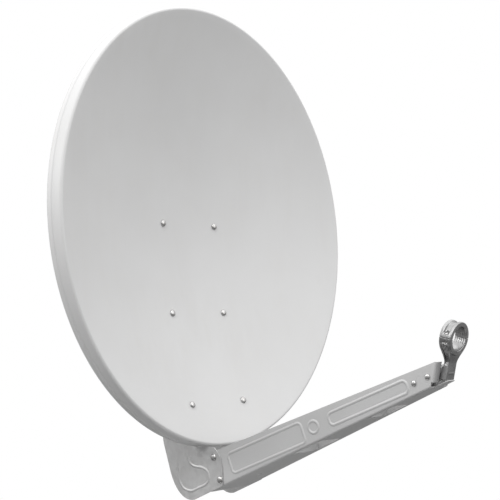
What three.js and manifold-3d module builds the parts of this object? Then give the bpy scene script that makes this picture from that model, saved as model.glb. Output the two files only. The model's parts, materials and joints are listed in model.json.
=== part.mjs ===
// Offset satellite dish with a bolted rear bracket, a folding channel feed arm, a split feed clamp
// and a tilting clamp for a vertical mast.
//
// Units are millimetres. The antenna frame has +Z up along the mast, -Y towards the satellite side,
// and its origin on the mast axis, halfway up the mast clamp.
// Pieces of the dish are drawn in the dish frame: origin at the centre of the rim, rim in its XZ
// plane, +Y towards the back. That frame leans back about the elevation pivot.
import * as THREE from "three";
import { mergeVertices } from "three/addons/utils/BufferGeometryUtils.js";
import Module from "manifold-3d";

const wasm = await Module();
wasm.setup();

// ---------------------------------------------------------------- driving dimensions

const GAP = 0.3; // air kept between pieces that touch
const SINK = 0.6; // depth by which joined parts of one piece run into each other
const OVER = 6; // length by which a cutting tool runs past the wall it cuts

// Reflector: elliptical rim and a parabolic bowl, pressed from sheet.
const DISH_WIDTH = 785;
const DISH_HEIGHT = 850;
const DISH_DEPTH = 76;
const DISH_SHEET = 1.6;
const DISH_LEAN = 4.5; // degrees that the rim plane leans back
const BOWL_RINGS = 10;
const BOWL_FACETS = 56;
const CREST_RADIUS = 5;
const RIM_DEPTH = 33;
const HEM_DEPTH = 9;
const HEM_PROUD = 2;

// Fasteners: radius of shank and head, height of the domed head, size across flats and nut height.
const M6 = { shank: 3, head: 6.5, dome: 3.6, across: 10, nut: 5 };
const M8 = { shank: 4, head: 8, dome: 4.6, across: 13, nut: 6.5 };
const M5 = { shank: 2.5, head: 4.8, dome: 2.6, across: 8, nut: 4 };
const M4 = { shank: 2, head: 3.4, dome: 2.6, across: 7, nut: 3.2 };
const HOLE_PLAY = 0.4; // clearance round a shank
const PAST_NUT = 3; // thread that stands out of a nut

// Carriage bolts that hold the reflector to its bracket: two columns, three rows.
const DISH_BOLT_IN_FLANGE = 17.3; // from the side plate's inner face
const DISH_BOLT_TOP = 6.5;
const DISH_BOLT_ABOVE_RIM = 83.5; // bottom row above the lowest point of the rim

// Rear bracket: two side plates with flanges against the back of the reflector, and two ties.
const PLATE_SHEET = 2;
const FLANGE_WIDTH = 37;
const FLANGE_TOP = 32;
const FLANGE_ABOVE_RIM = 53;
const PLATE_UNDER_RIM = 0.6; // clearance under the rim
const PLATE_BACK_TOP = { y: 142, z: -200 };
const TIE_SHEET = 2;
const TIE_HEIGHT = 32;
const TIE_LEG = 22;
const UPPER_TIE_TOP = 30;
const LOWER_TIE_ABOVE_RIM = 127;
const TIE_CLEARANCE = 4; // from the back of the bowl
const BEAD_PROUD = 1.2;
const BEAD_WIDTH = 5;

// Feed arm: a channel that gets narrower and lower towards the feed.
// "below" counts down from the lowest point of the rim.
const ARM_SHEET = 1.5;
const ARM_REAR_Y = 5;
const ARM_FRONT_Y = -488;
const ARM_TOP_START = { y: -12, below: 3.9 };
const ARM_REAR_DROP = 11;
const ARM_TOP_RISE = 16.75;
const ARM_FLOOR_START = { y: 20, below: 85 };
const ARM_FLOOR_RISE = 20.2;
const ARM_TAPER_Y = -32;
const ARM_FRONT_HALF_WIDTH = 26;
const ARM_LIP = 17;
const ARM_TONGUE = { length: 19, halfWidth: 12 };
const ARM_TABS = [{ along: 0.365, window: 62 }, { along: 0.7, window: 52 }]; // shares of the way to the front
const ARM_WINDOW_EDGE = 9;
const ARM_DRAIN = { y: -71, radius: 4 };
const ARM_BEAD_ZONE = { rear: -45.5, front: 56 }; // front is behind the arm's front edge
const ARM_ROUND_BEAD = { along: 0.4955, radius: 13, rearGap: 7.5, frontGap: 18 }; // share of the bead zone
const ARM_BEAD_SIZE = { rear: { height: 42, radius: 10, drop: 1 }, front: { height: 27, radius: 11, drop: 0 } };
const HOOK_BOLT = { y: -10.5, below: 15 };
const FOLD_BOLT = { y: -23.5, below: 56 };

// Feed clamp: a split ring for a round feed neck, on a stem that is bolted into the arm.
const NECK_DIAMETER = 40;
const RING_WALL = 8;
const RING_LENGTH = 22;
const RING_TILT = 16;
const RING_AHEAD = 9; // ring centre in front of the arm's front edge
const RING_CLEAR = 12.5; // underside of the ring above the arm's top front corner
const RING_SPLIT = 0.8;
const RING_GROOVE = { depth: 3.5, width: 12 };
const STEM_HALF_WIDTH = 12;
const STEM_DEPTH = 10;
const STEM_BACK = 3.5; // back of the stem behind the middle of the ring
const STEM_SHOULDER = 9.6;
const STEM_NECK = 13; // from the ring's underside down to where the stem is narrowest
const STEM_WEB = 4; // half the metal left between the flutes
const BASE_HALF_WIDTH = 7.5;
const BASE_HALF_HEIGHT = 9;
const BASE_BOLTS = [11.5, 34]; // behind the front edge, along the arm's floor
const BASE_BOLT_RISE = 19.5; // above the arm's floor

// Mast clamp and elevation hinge, in the antenna frame.
const MAST_DIAMETER = 60;
const PIVOT_AHEAD = 38; // pivot in front of the saddle plate
const PIVOT_Z = 45;
const PIVOT_IN_DISH = { y: 125, z: -110 };
const LOCK_RADIUS = 55;
const TILT_UP = 25;
const TILT_DOWN = 17;
const SADDLE_SHEET = 3;
const SADDLE_HALF_HEIGHT = 72;
const JAW_HEIGHT = 26;
const JAW_Z = 46;
const JAW_END = 10.5; // metal outside each clamp bolt
const JAW_V_END = 7.5; // flat between the V and a clamp bolt
const JAW_V_SLOPE = 30; // degrees of each face of the V
const JAW_BACK = 4; // metal behind the root of the V
const JAW_TOOTH = 2;
const JAW_TEETH = 6; // on each face
const JAW_TRAVEL_OPEN = 8;
const CLAMP_BOLT_BESIDE_MAST = 9.5;
const CHEEK_ROOM = 4.2; // between a clamp bolt's head and the saddle's cheek

// ---------------------------------------------------------------- materials

function finish(color, roughness, metalness) {
  return new THREE.MeshStandardMaterial({ color, roughness, metalness });
}
const PAINT = finish(0xdcdedd, 0.5, 0.0);
const ARM_COAT = finish(0xb9bbba, 0.5, 0.3);
const CASTING = finish(0x8b8d8d, 0.4, 0.8);
const ZINC = finish(0xb5b7b9, 0.3, 1.0);
const GALVANISED = finish(0xa7aaab, 0.45, 0.9);

// ---------------------------------------------------------------- helpers

const rad = THREE.MathUtils.degToRad;
const vec = (x, y, z) => new THREE.Vector3(x, y, z);
const steps = (count) => [...Array(count + 1).keys()].map((i) => i / count);

// A closed geometry as a manifold solid, and back.
function solid(geometry) {
  const bare = geometry.clone();
  bare.deleteAttribute("normal");
  bare.deleteAttribute("uv");
  const merged = mergeVertices(bare, 1e-4);
  const vertProperties = new Float32Array(merged.attributes.position.array);
  const triVerts = new Uint32Array(merged.index.array);
  return new wasm.Manifold(new wasm.Mesh({ numProp: 3, vertProperties, triVerts }));
}

function geometryOf(body) {
  const mesh = body.getMesh();
  const geometry = new THREE.BufferGeometry();
  geometry.setAttribute("position", new THREE.BufferAttribute(new Float32Array(mesh.vertProperties), 3));
  geometry.setIndex(new THREE.BufferAttribute(new Uint32Array(mesh.triVerts), 1));
  geometry.computeVertexNormals();
  return geometry;
}

const join = (...parts) => parts.map(solid).reduce((body, next) => body.add(next));
const cut = (body, ...tools) => tools.map(solid).reduce((left, tool) => left.subtract(tool), body);

// Moves every vertex of a geometry by a function of its position.
function bend(geometry, move) {
  const position = geometry.attributes.position;
  const point = new THREE.Vector3();
  for (let i = 0; i < position.count; i++) {
    point.fromBufferAttribute(position, i);
    move(point);
    position.setXYZ(i, point.x, point.y, point.z);
  }
  return geometry;
}

// For each axis, where an outline's own X, Y and depth directions go.
const DRAW = {
  x: new THREE.Matrix4().makeBasis(vec(0, 1, 0), vec(0, 0, 1), vec(1, 0, 0)), // outline in (y, z)
  y: new THREE.Matrix4().makeBasis(vec(1, 0, 0), vec(0, 0, 1), vec(0, -1, 0)), // outline in (x, z)
  z: new THREE.Matrix4(), // outline in (x, y)
};

// An outline drawn out along an axis, from one place on it to another.
function prism(shape, axis, from, to) {
  const options = { depth: to - from, bevelEnabled: false, curveSegments: 8 };
  const geometry = new THREE.ExtrudeGeometry(shape, options);
  geometry.translate(0, 0, axis === "y" ? -to : from);
  return geometry.applyMatrix4(DRAW[axis]);
}

const polygon = (points) => new THREE.Shape(points.map(([a, b]) => new THREE.Vector2(a, b)));

function arc(radius, fromDegrees, toDegrees, count, cx = 0, cy = 0) {
  return steps(count).map((t) => {
    const angle = rad(fromDegrees + (toDegrees - fromDegrees) * t);
    return [cx + radius * Math.cos(angle), cy + radius * Math.sin(angle)];
  });
}

function box(x0, x1, y0, y1, z0, z1) {
  const geometry = new THREE.BoxGeometry(x1 - x0, y1 - y0, z1 - z0);
  return geometry.translate((x0 + x1) / 2, (y0 + y1) / 2, (z0 + z1) / 2);
}

// A round rod between two points.
function rod(radius, from, to, segments = 10) {
  const along = to.clone().sub(from);
  const geometry = new THREE.CylinderGeometry(radius, radius, along.length(), segments);
  const turn = new THREE.Quaternion().setFromUnitVectors(vec(0, 1, 0), along.normalize());
  const middle = from.clone().add(to).multiplyScalar(0.5);
  return geometry.applyQuaternion(turn).translate(middle.x, middle.y, middle.z);
}

// A tool that cuts round holes along X, through both sides of a piece.
const holesAlongX = (radius, y, z, reach) => rod(radius, vec(-reach, y, z), vec(reach, y, z));

// Points of a rectangle with rounded corners, centred on a point and turned about it.
function roundedRectangle({ y, z, length, height, radius, turn }) {
  const corners = [[1, 1, 0], [-1, 1, 90], [-1, -1, 180], [1, -1, 270]];
  const points = corners.flatMap(([sy, sz, start]) =>
    arc(radius, start, start + 90, 3, sy * (length / 2 - radius), sz * (height / 2 - radius)));
  const centre = new THREE.Vector2();
  return points.map(([a, b]) => {
    const point = new THREE.Vector2(a, b).rotateAround(centre, rad(turn));
    return [point.x + y, point.y + z];
  });
}

// A raised bead: the band between such a rectangle and a smaller one.
function beadShape(outline) {
  const inner = {
    ...outline,
    length: outline.length - 2 * BEAD_WIDTH,
    height: outline.height - 2 * BEAD_WIDTH,
    radius: outline.radius - BEAD_WIDTH,
  };
  const shape = polygon(roundedRectangle(outline));
  shape.holes.push(polygon(roundedRectangle(inner)));
  return shape;
}

// A domed bolt along +Y: its head stands on y = 0 and its shank runs down from there.
function domedBolt(size, length) {
  const shank = [[0, -length], [size.shank, -length], [size.shank, 0], [size.head, 0]];
  const dome = steps(3).slice(1, -1).map((t) => {
    const angle = (Math.PI / 2) * t;
    return [size.head * Math.cos(angle), size.dome * Math.sin(angle)];
  });
  const profile = [...shank, ...dome, [0, size.dome]];
  return new THREE.LatheGeometry(profile.map(([r, y]) => new THREE.Vector2(r, y)), 10);
}

// A hexagon nut along +Y, standing on y = 0.
function hexagonNut(size) {
  const corner = size.across / 2 / Math.cos(Math.PI / 6);
  const shape = polygon(arc(corner, 0, 300, 5));
  shape.holes.push(polygon(arc(size.shank + HOLE_PLAY, 0, 324, 9)));
  return prism(shape, "y", 0, size.nut);
}

function piece(parent, name, geometry, look, position = vec(0, 0, 0), up = vec(0, 1, 0)) {
  const mesh = new THREE.Mesh(geometry, look);
  mesh.name = name;
  mesh.position.copy(position);
  mesh.quaternion.setFromUnitVectors(vec(0, 1, 0), up.clone().normalize());
  parent.add(mesh);
  return mesh;
}

const SIDES = [["left", -1], ["right", 1]];

// ---------------------------------------------------------------- shared places

// Bowl: depth of its face behind the rim plane, and the normal of its back.
const RIM_SLOPE = Math.atan((2 * DISH_DEPTH) / (DISH_HEIGHT / 2));
const crestWidth = CREST_RADIUS * (1 + Math.sin(RIM_SLOPE));
const BOWL_X = DISH_WIDTH / 2 - crestWidth - HEM_PROUD; // half axes of the bowl's own edge
const BOWL_Z = DISH_HEIGHT / 2 - crestWidth - HEM_PROUD;
const RIM_BOTTOM = -DISH_HEIGHT / 2;
const bowlDepth = (x, z) => DISH_DEPTH * (1 - (x / BOWL_X) ** 2 - (z / BOWL_Z) ** 2);
const bowlNormal = (x, z) =>
  vec((2 * DISH_DEPTH * x) / BOWL_X ** 2, 1, (2 * DISH_DEPTH * z) / BOWL_Z ** 2).normalize();
const behindBowl = (x, z, distance) => bowlDepth(x, z) + distance / bowlNormal(x, z).y;
const FLANGE_FRONT = DISH_SHEET + GAP; // distances behind the bowl's face
const FLANGE_BACK = FLANGE_FRONT + PLATE_SHEET;
const FLANGE_BOTTOM = RIM_BOTTOM + FLANGE_ABOVE_RIM;

// Across: the clamp bolts pass beside the mast, the saddle's cheeks beside their heads, the side
// plates beside the cheeks.
const CLAMP_BOLT_X = MAST_DIAMETER / 2 + CLAMP_BOLT_BESIDE_MAST;
const CHEEK_INNER_X = CLAMP_BOLT_X + M8.head + CHEEK_ROOM;
const CHEEK_OUTER_X = CHEEK_INNER_X + SADDLE_SHEET;
const PLATE_INNER_X = CHEEK_OUTER_X + GAP;
const PLATE_OUTER_X = PLATE_INNER_X + PLATE_SHEET;
const FLANGE_OUTER_X = PLATE_INNER_X + FLANGE_WIDTH;
const DISH_BOLT_X = PLATE_INNER_X + DISH_BOLT_IN_FLANGE;
const JAW_HALF_WIDTH = CLAMP_BOLT_X + JAW_END;
const JAW_V_HALF_WIDTH = CLAMP_BOLT_X - JAW_V_END;

// Side plates and the arm between them.
const ARM_HALF_WIDTH = PLATE_INNER_X - GAP;
const ARM_TAPER = (ARM_HALF_WIDTH - ARM_FRONT_HALF_WIDTH) / (ARM_TAPER_Y - ARM_FRONT_Y);
const armHalfWidth = (y) => ARM_HALF_WIDTH - Math.max(ARM_TAPER_Y - y, 0) * ARM_TAPER;
const lineAt = (start, degrees) => (y) => RIM_BOTTOM - start.below + (start.y - y) * Math.tan(rad(degrees));
const armTop = lineAt(ARM_TOP_START, ARM_TOP_RISE);
const armFloor = lineAt(ARM_FLOOR_START, ARM_FLOOR_RISE);
const armMiddle = (y) => (armTop(y) + armFloor(y)) / 2;
const hookBolt = { y: HOOK_BOLT.y, z: RIM_BOTTOM - HOOK_BOLT.below };
const foldBolt = { y: FOLD_BOLT.y, z: RIM_BOTTOM - FOLD_BOLT.below };

const RING_INNER = NECK_DIAMETER / 2;
const RING_OUTER = RING_INNER + RING_WALL;
const RING_ABOVE = RING_OUTER + RING_CLEAR; // ring centre above the arm's top front corner
const STEM_WAIST = RING_OUTER + STEM_NECK;

// Feed clamp frame: its Y runs along the feed neck towards the dish, its Z up the stem.
const neckY = { y: Math.cos(rad(RING_TILT)), z: Math.sin(rad(RING_TILT)) };
const stemZ = { y: -neckY.z, z: neckY.y };
const ringCentre = {
  y: ARM_FRONT_Y - RING_AHEAD * neckY.y + RING_ABOVE * stemZ.y,
  z: armTop(ARM_FRONT_Y) - RING_AHEAD * neckY.z + RING_ABOVE * stemZ.z,
};
function toClamp(y, z) {
  const dy = y - ringCentre.y;
  const dz = z - ringCentre.z;
  return [dy * neckY.y + dz * neckY.z, dy * stemZ.y + dz * stemZ.z];
}
// Where a line parallel to the arm's front edge, some way behind it, meets the arm's floor.
function floorBehindFront(distance, rise = 0) {
  const start = { y: ARM_FRONT_Y + distance * neckY.y, z: armTop(ARM_FRONT_Y) + distance * neckY.z };
  const slope = Math.tan(rad(ARM_FLOOR_RISE));
  const drop = (start.z - armFloor(start.y) - rise) / (stemZ.z + slope * stemZ.y);
  return { y: start.y - drop * stemZ.y, z: start.z - drop * stemZ.z };
}
const stemFront = RING_AHEAD + STEM_DEPTH - STEM_BACK;
const stemFoot = floorBehindFront(-stemFront, ARM_SHEET / Math.cos(rad(ARM_FLOOR_RISE)) + 2 * GAP);
const STEM_FOOT = -toClamp(stemFoot.y, stemFoot.z)[1];
const baseBolts = BASE_BOLTS.map((distance) => floorBehindFront(distance, BASE_BOLT_RISE));

// Mast clamp.
const JAW_ROOT = MAST_DIAMETER / 2 / Math.cos(rad(JAW_V_SLOPE));
const JAW_REAR = JAW_ROOT + JAW_BACK;
const SADDLE_REAR_Y = -(JAW_REAR + GAP);
const SADDLE_FRONT_Y = SADDLE_REAR_Y - SADDLE_SHEET;
const PIVOT = { y: SADDLE_FRONT_Y - PIVOT_AHEAD, z: PIVOT_Z };

// ---------------------------------------------------------------- frames

const antenna = new THREE.Group();
const elevation = new THREE.Group();
elevation.position.set(0, PIVOT.y, PIVOT.z);
elevation.rotation.x = -rad(DISH_LEAN);
antenna.add(elevation);
const dish = new THREE.Group();
dish.position.set(0, -PIVOT_IN_DISH.y, -PIVOT_IN_DISH.z);
elevation.add(dish);
const feedClamp = new THREE.Group();
feedClamp.position.set(0, ringCentre.y, ringCentre.z);
feedClamp.rotation.x = rad(RING_TILT);
dish.add(feedClamp);

// ---------------------------------------------------------------- reflector

// Half section from the middle of the bowl out to the hem, a given distance behind the front face.
// Each point is [radius along Z, y].
function dishSection(behind) {
  const crest = { r: BOWL_Z + CREST_RADIUS * Math.sin(RIM_SLOPE), y: CREST_RADIUS * Math.cos(RIM_SLOPE) };
  const radius = CREST_RADIUS - behind;
  const wall = crest.r + radius;
  const bowl = steps(BOWL_RINGS).slice(0, -1).map((t) => [BOWL_Z * t, behindBowl(0, BOWL_Z * t, behind)]);
  const crestArc = steps(4).map((t) => {
    const angle = -RIM_SLOPE + (Math.PI / 2 + RIM_SLOPE) * t;
    return [crest.r + radius * Math.sin(angle), crest.y - radius * Math.cos(angle)];
  });
  const hemStart = RIM_DEPTH - HEM_DEPTH;
  const hem = [[wall, hemStart - HEM_PROUD], [wall + HEM_PROUD, hemStart], [wall + HEM_PROUD, RIM_DEPTH]];
  return [...bowl, ...crestArc, ...hem];
}

// A circular turning pulled in along X, so that every ring is an ellipse.
function toEllipse(point) {
  const radius = Math.hypot(point.x, point.z);
  const [sin, cos] = radius > 0 ? [point.x / radius, point.z / radius] : [0, 0];
  const outside = Math.max(radius - BOWL_Z, 0);
  const scale = Math.min(radius / BOWL_Z, 1);
  const normal = new THREE.Vector2(sin / BOWL_X, cos / BOWL_Z).normalize();
  point.x = BOWL_X * scale * sin + outside * normal.x;
  point.z = BOWL_Z * scale * cos + outside * normal.y;
}

const dishBoltPlaces = SIDES.flatMap(([side, sign]) =>
  ["top", "middle", "bottom"].map((row, index) => {
    const x = sign * DISH_BOLT_X;
    const z = THREE.MathUtils.lerp(DISH_BOLT_TOP, RIM_BOTTOM + DISH_BOLT_ABOVE_RIM, index / 2);
    return { name: `${row}_${side}`, sign, face: vec(x, bowlDepth(x, z), z), normal: bowlNormal(x, z) };
  }));

const dishBoltHoles = (places) => places.map(({ face, normal }) => {
  const reach = normal.clone().multiplyScalar(OVER + FLANGE_BACK);
  return rod(M6.shank + HOLE_PLAY, face.clone().sub(reach), face.clone().add(reach));
});

function reflectorGeometry() {
  const section = [...dishSection(0), ...dishSection(DISH_SHEET).reverse()];
  const lathe = new THREE.LatheGeometry(section.map(([r, y]) => new THREE.Vector2(r, y)), BOWL_FACETS);
  return geometryOf(cut(solid(bend(lathe, toEllipse)), ...dishBoltHoles(dishBoltPlaces)));
}
piece(dish, "reflector", reflectorGeometry(), PAINT);

for (const { name, face, normal } of dishBoltPlaces) {
  const forward = normal.clone().negate();
  const length = FLANGE_BACK + 4 * GAP + M6.nut + PAST_NUT;
  const head = face.clone().addScaledVector(forward, 2 * GAP);
  const seat = face.clone().addScaledVector(normal, FLANGE_BACK + 2 * GAP);
  piece(dish, `dish_bolt_${name}`, domedBolt(M6, length), ZINC, head, forward);
  piece(dish, `dish_nut_${name}`, hexagonNut(M6), ZINC, seat, normal);
}

// ---------------------------------------------------------------- rear bracket

// Side plate seen from the side: down its curved front edge behind the bowl, round the rim,
// along the arm's floor line and up its back edge.
function plateShape() {
  const x = PLATE_INNER_X;
  const bowlEdge = steps(10).map((t) => {
    const z = FLANGE_TOP + (FLANGE_BOTTOM - FLANGE_TOP) * t;
    return [behindBowl(x, z, FLANGE_FRONT + SINK), z];
  });
  const behindRim = RIM_DEPTH + PLATE_UNDER_RIM;
  const rimHere = RIM_BOTTOM * Math.sqrt(1 - (PLATE_INNER_X / (DISH_WIDTH / 2)) ** 2);
  const underRim = [
    [behindRim, rimHere + 24],
    [behindRim, rimHere - PLATE_UNDER_RIM],
    [ARM_TOP_START.y, rimHere - PLATE_UNDER_RIM],
  ];
  const nose = [
    [-20, RIM_BOTTOM - 5],
    [-27, RIM_BOTTOM - 15],
    [-30, RIM_BOTTOM - 33],
    [-30, armFloor(-30) + 3],
    [-27, armFloor(-27)],
  ];
  const shape = polygon([...bowlEdge, ...underRim, ...nose, [46, armFloor(46)]]);
  const corner = { y: 106, z: RIM_BOTTOM - 33 };
  shape.bezierCurveTo(78, RIM_BOTTOM - 99, 99, RIM_BOTTOM - 67, corner.y, corner.z);
  shape.lineTo(118, RIM_BOTTOM + 11);
  shape.lineTo(PLATE_BACK_TOP.y, PLATE_BACK_TOP.z);
  shape.lineTo(PLATE_BACK_TOP.y, PIVOT_IN_DISH.z + 20);
  shape.lineTo(behindBowl(x, FLANGE_TOP, FLANGE_BACK) + 20, FLANGE_TOP);
  return shape;
}

// Flange that follows the back of the bowl, from the side plate outwards.
function flangeGeometry(sign) {
  const inner = PLATE_INNER_X;
  const strip = new THREE.BoxGeometry(1, 1, FLANGE_TOP - FLANGE_BOTTOM, 3, 1, 14);
  strip.translate(0, 0, (FLANGE_TOP + FLANGE_BOTTOM) / 2);
  return bend(strip, (point) => {
    const distance = point.y < 0 ? FLANGE_FRONT : FLANGE_BACK;
    point.x = sign * (inner + (FLANGE_OUTER_X - inner) * (0.5 + sign * point.x));
    point.y = behindBowl(point.x, point.z, distance);
  });
}

// Bead pressed round the lower part of the plate, open at the top: [y, distance below the rim].
const PLATE_BEAD = [[55, 15], [51, 26], [38, 32.5], [20, 34.5], [7, 42], [5, 56], [13, 65], [32, 72]];
PLATE_BEAD.push([51, 78], [70, 73.5], [80, 61], [83.5, 46], [83, 35.5]);

// Place on a face that looks along X: from just inside it to a bead's height proud of it.
const proudRange = (sign, face, proud) =>
  sign > 0 ? [face - SINK, face + proud] : [-face - proud, -face + SINK];

function plateBeadShape() {
  const places = PLATE_BEAD.map(([y, below]) => new THREE.Vector2(y, RIM_BOTTOM - below));
  const curve = new THREE.SplineCurve(places);
  const edges = steps(36).map((t) => {
    const { x, y } = curve.getPoint(t);
    const across = curve.getTangent(t).multiplyScalar(BEAD_WIDTH / 2);
    return [[x - across.y, y + across.x], [x + across.y, y - across.x]];
  });
  return polygon([...edges.map(([left]) => left), ...edges.map(([, right]) => right).reverse()]);
}

function plateGeometry(sign) {
  const [from, to] = sign > 0 ? [PLATE_INNER_X, PLATE_OUTER_X] : [-PLATE_OUTER_X, -PLATE_INNER_X];
  const bead = prism(plateBeadShape(), "x", ...proudRange(sign, PLATE_OUTER_X, BEAD_PROUD));
  const body = join(prism(plateShape(), "x", from, to), flangeGeometry(sign), bead);
  const lock = lockInDish();
  const arm = [hookBolt, foldBolt].map(({ y, z }) =>
    holesAlongX(M6.shank + HOLE_PLAY, y, z, PLATE_OUTER_X + OVER));
  const mount = [PIVOT_IN_DISH, lock].map(({ y, z }) =>
    holesAlongX(M8.shank + HOLE_PLAY, y, z, PLATE_OUTER_X + OVER));
  const bolts = dishBoltHoles(dishBoltPlaces.filter((place) => place.sign === sign));
  return geometryOf(cut(body, ...arm, ...mount, ...bolts));
}

// The lock bolt hangs straight below the pivot when the dish is at rest.
function lockInDish() {
  const lean = rad(DISH_LEAN);
  return {
    y: PIVOT_IN_DISH.y + LOCK_RADIUS * Math.sin(lean),
    z: PIVOT_IN_DISH.z - LOCK_RADIUS * Math.cos(lean),
  };
}

for (const [side, sign] of SIDES) {
  piece(dish, `side_plate_${side}`, plateGeometry(sign), GALVANISED);
}

// Ties: folded straps that hold the side plates apart.
for (const [place, top] of [["upper", UPPER_TIE_TOP], ["lower", RIM_BOTTOM + LOWER_TIE_ABOVE_RIM]]) {
  const front = behindBowl(0, top, DISH_SHEET) + TIE_CLEARANCE;
  const reach = PLATE_INNER_X - GAP;
  const back = front + TIE_LEG;
  const inside = reach - TIE_SHEET;
  const outline = [[-reach, front], [reach, front], [reach, back], [inside, back]];
  outline.push([inside, front + TIE_SHEET], [-inside, front + TIE_SHEET], [-inside, back], [-reach, back]);
  piece(dish, `plate_tie_${place}`, prism(polygon(outline), "z", top - TIE_HEIGHT, top), GALVANISED);
}

// A bolt through a wall that looks along X, and the nut on the wall's other face.
function boltAndNut(parent, name, size, place, headX, nutX) {
  const outward = vec(Math.sign(headX - nutX), 0, 0);
  const length = Math.abs(headX - nutX) + 2 * GAP + size.nut + PAST_NUT;
  const head = vec(headX + GAP * outward.x, place.y, place.z);
  const seat = vec(nutX - GAP * outward.x, place.y, place.z);
  piece(parent, `${name}_bolt`, domedBolt(size, length), ZINC, head, outward);
  piece(parent, `${name}_nut`, hexagonNut(size), ZINC, seat, outward.clone().negate());
}

const armWallInnerX = ARM_HALF_WIDTH - ARM_SHEET;
for (const [side, sign] of SIDES) {
  const head = sign * PLATE_OUTER_X;
  boltAndNut(dish, `arm_hook_${side}`, M6, hookBolt, head, sign * armWallInnerX);
  boltAndNut(dish, `arm_fold_${side}`, M6, foldBolt, head, sign * armWallInnerX);
  boltAndNut(dish, `pivot_${side}`, M8, PIVOT_IN_DISH, head, sign * CHEEK_INNER_X);
  boltAndNut(dish, `tilt_lock_${side}`, M8, lockInDish(), head, sign * CHEEK_INNER_X);
}

// ---------------------------------------------------------------- feed arm

// The arm's side outline in two stretches, so that its walls bend where the taper starts.
function armStretches(inset, floorLift, rear, aboveTop) {
  const top = (y) => armTop(y) + aboveTop;
  const floor = (y) => armFloor(y) + floorLift;
  const corner = { y: ARM_FRONT_Y + inset, z: top(ARM_FRONT_Y + inset) };
  const slope = Math.tan(rad(ARM_FLOOR_RISE));
  const drop = (corner.z - floor(corner.y)) / (stemZ.z + slope * stemZ.y);
  const foot = { y: corner.y - drop * stemZ.y, z: corner.z - drop * stemZ.z };
  const rearTop = armTop(ARM_TOP_START.y) - ARM_REAR_DROP + aboveTop;
  const taper = ARM_TAPER_Y;
  const rearOutline = [[rear, floor(rear)], [rear, rearTop], [ARM_TOP_START.y, top(ARM_TOP_START.y)]];
  rearOutline.push([taper, top(taper)], [taper, floor(taper)]);
  const frontOutline = [[taper, floor(taper)], [taper, top(taper)], [corner.y, corner.z], [foot.y, foot.z]];
  return [rearOutline, frontOutline].map((outline) => polygon(outline));
}

// Both stretches drawn out to the walls, a given depth inside the arm's outer faces.
function armSolid(depth, ...measures) {
  const [rear, front] = armStretches(...measures);
  const wall = ARM_HALF_WIDTH - depth;
  const tapered = bend(prism(front, "x", -1, 1), (point) => {
    point.x *= armHalfWidth(point.y) - depth;
  });
  return join(prism(rear, "x", -wall, wall), tapered);
}

// Open-ended slot that lets the arm swing down off the hook bolt, about the fold bolt.
function hookSlot() {
  const dy = hookBolt.y - foldBolt.y;
  const dz = hookBolt.z - foldBolt.z;
  const radius = Math.hypot(dy, dz);
  const start = THREE.MathUtils.radToDeg(Math.atan2(dz, dy));
  const half = M6.shank + HOLE_PLAY;
  const past = 50; // degrees, enough to leave by the arm's rear edge
  const outer = arc(radius + half, start, start - past, 8, foldBolt.y, foldBolt.z);
  const inner = arc(radius - half, start - past, start, 8, foldBolt.y, foldBolt.z);
  return prism(polygon([...outer, ...inner]), "x", -ARM_HALF_WIDTH - OVER, ARM_HALF_WIDTH + OVER);
}

// Beads on each wall: a long one towards the rear, a round one and a long one towards the front.
function armBeads() {
  const { rear, front } = ARM_BEAD_ZONE;
  const round = ARM_ROUND_BEAD;
  const roundY = THREE.MathUtils.lerp(rear, ARM_FRONT_Y + front, round.along);
  const rise = (ARM_TOP_RISE + ARM_FLOOR_RISE) / 2;
  const long = (from, to, { height, radius, drop }) => {
    const y = (from + to) / 2;
    const length = (from - to) / Math.cos(rad(rise));
    return { y, z: armMiddle(y) - drop, length, height, radius, turn: 180 - rise };
  };
  const size = 2 * round.radius;
  return [
    long(rear, roundY + round.radius + round.rearGap, ARM_BEAD_SIZE.rear),
    long(roundY - round.radius - round.frontGap, ARM_FRONT_Y + front, ARM_BEAD_SIZE.front),
    { y: roundY, z: armMiddle(roundY), length: size, height: size, radius: round.radius, turn: 0 },
  ];
}

// A bead that stands on one of the arm's walls.
function armBead(outline, sign) {
  const [from, to] = proudRange(sign, 0, BEAD_PROUD);
  return bend(prism(beadShape(outline), "x", from, to), (point) => {
    point.x += sign * armHalfWidth(point.y);
  });
}

const armTabs = ARM_TABS.map(({ along, window }) => ({ y: ARM_FRONT_Y * along, window }));

// Cross plate bent up from the floor, and the window that it leaves in front of itself.
function armTab({ y }) {
  const half = armHalfWidth(y) - 2 * ARM_SHEET;
  return box(-half, half, y - ARM_SHEET, y, armFloor(y) + SINK, armTop(y) - ARM_WINDOW_EDGE);
}

function armWindow({ y, window }) {
  const half = armHalfWidth(y - window) - ARM_WINDOW_EDGE;
  const from = y - ARM_SHEET - window;
  return box(-half, half, from, y - ARM_SHEET, armFloor(y) - OVER, armFloor(from) + OVER);
}

// The floor runs on in front of the walls, under the foot of the stem.
function armTongue() {
  const rear = ARM_FRONT_Y + ARM_TONGUE.length;
  const end = floorBehindFront(-ARM_TONGUE.length);
  const sheet = ARM_SHEET / Math.cos(rad(ARM_FLOOR_RISE));
  const outline = [[rear, armFloor(rear)], [rear, armFloor(rear) + sheet]];
  outline.push([end.y, end.z + sheet], [end.y, end.z]);
  return prism(polygon(outline), "x", -ARM_TONGUE.halfWidth, ARM_TONGUE.halfWidth);
}

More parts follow.
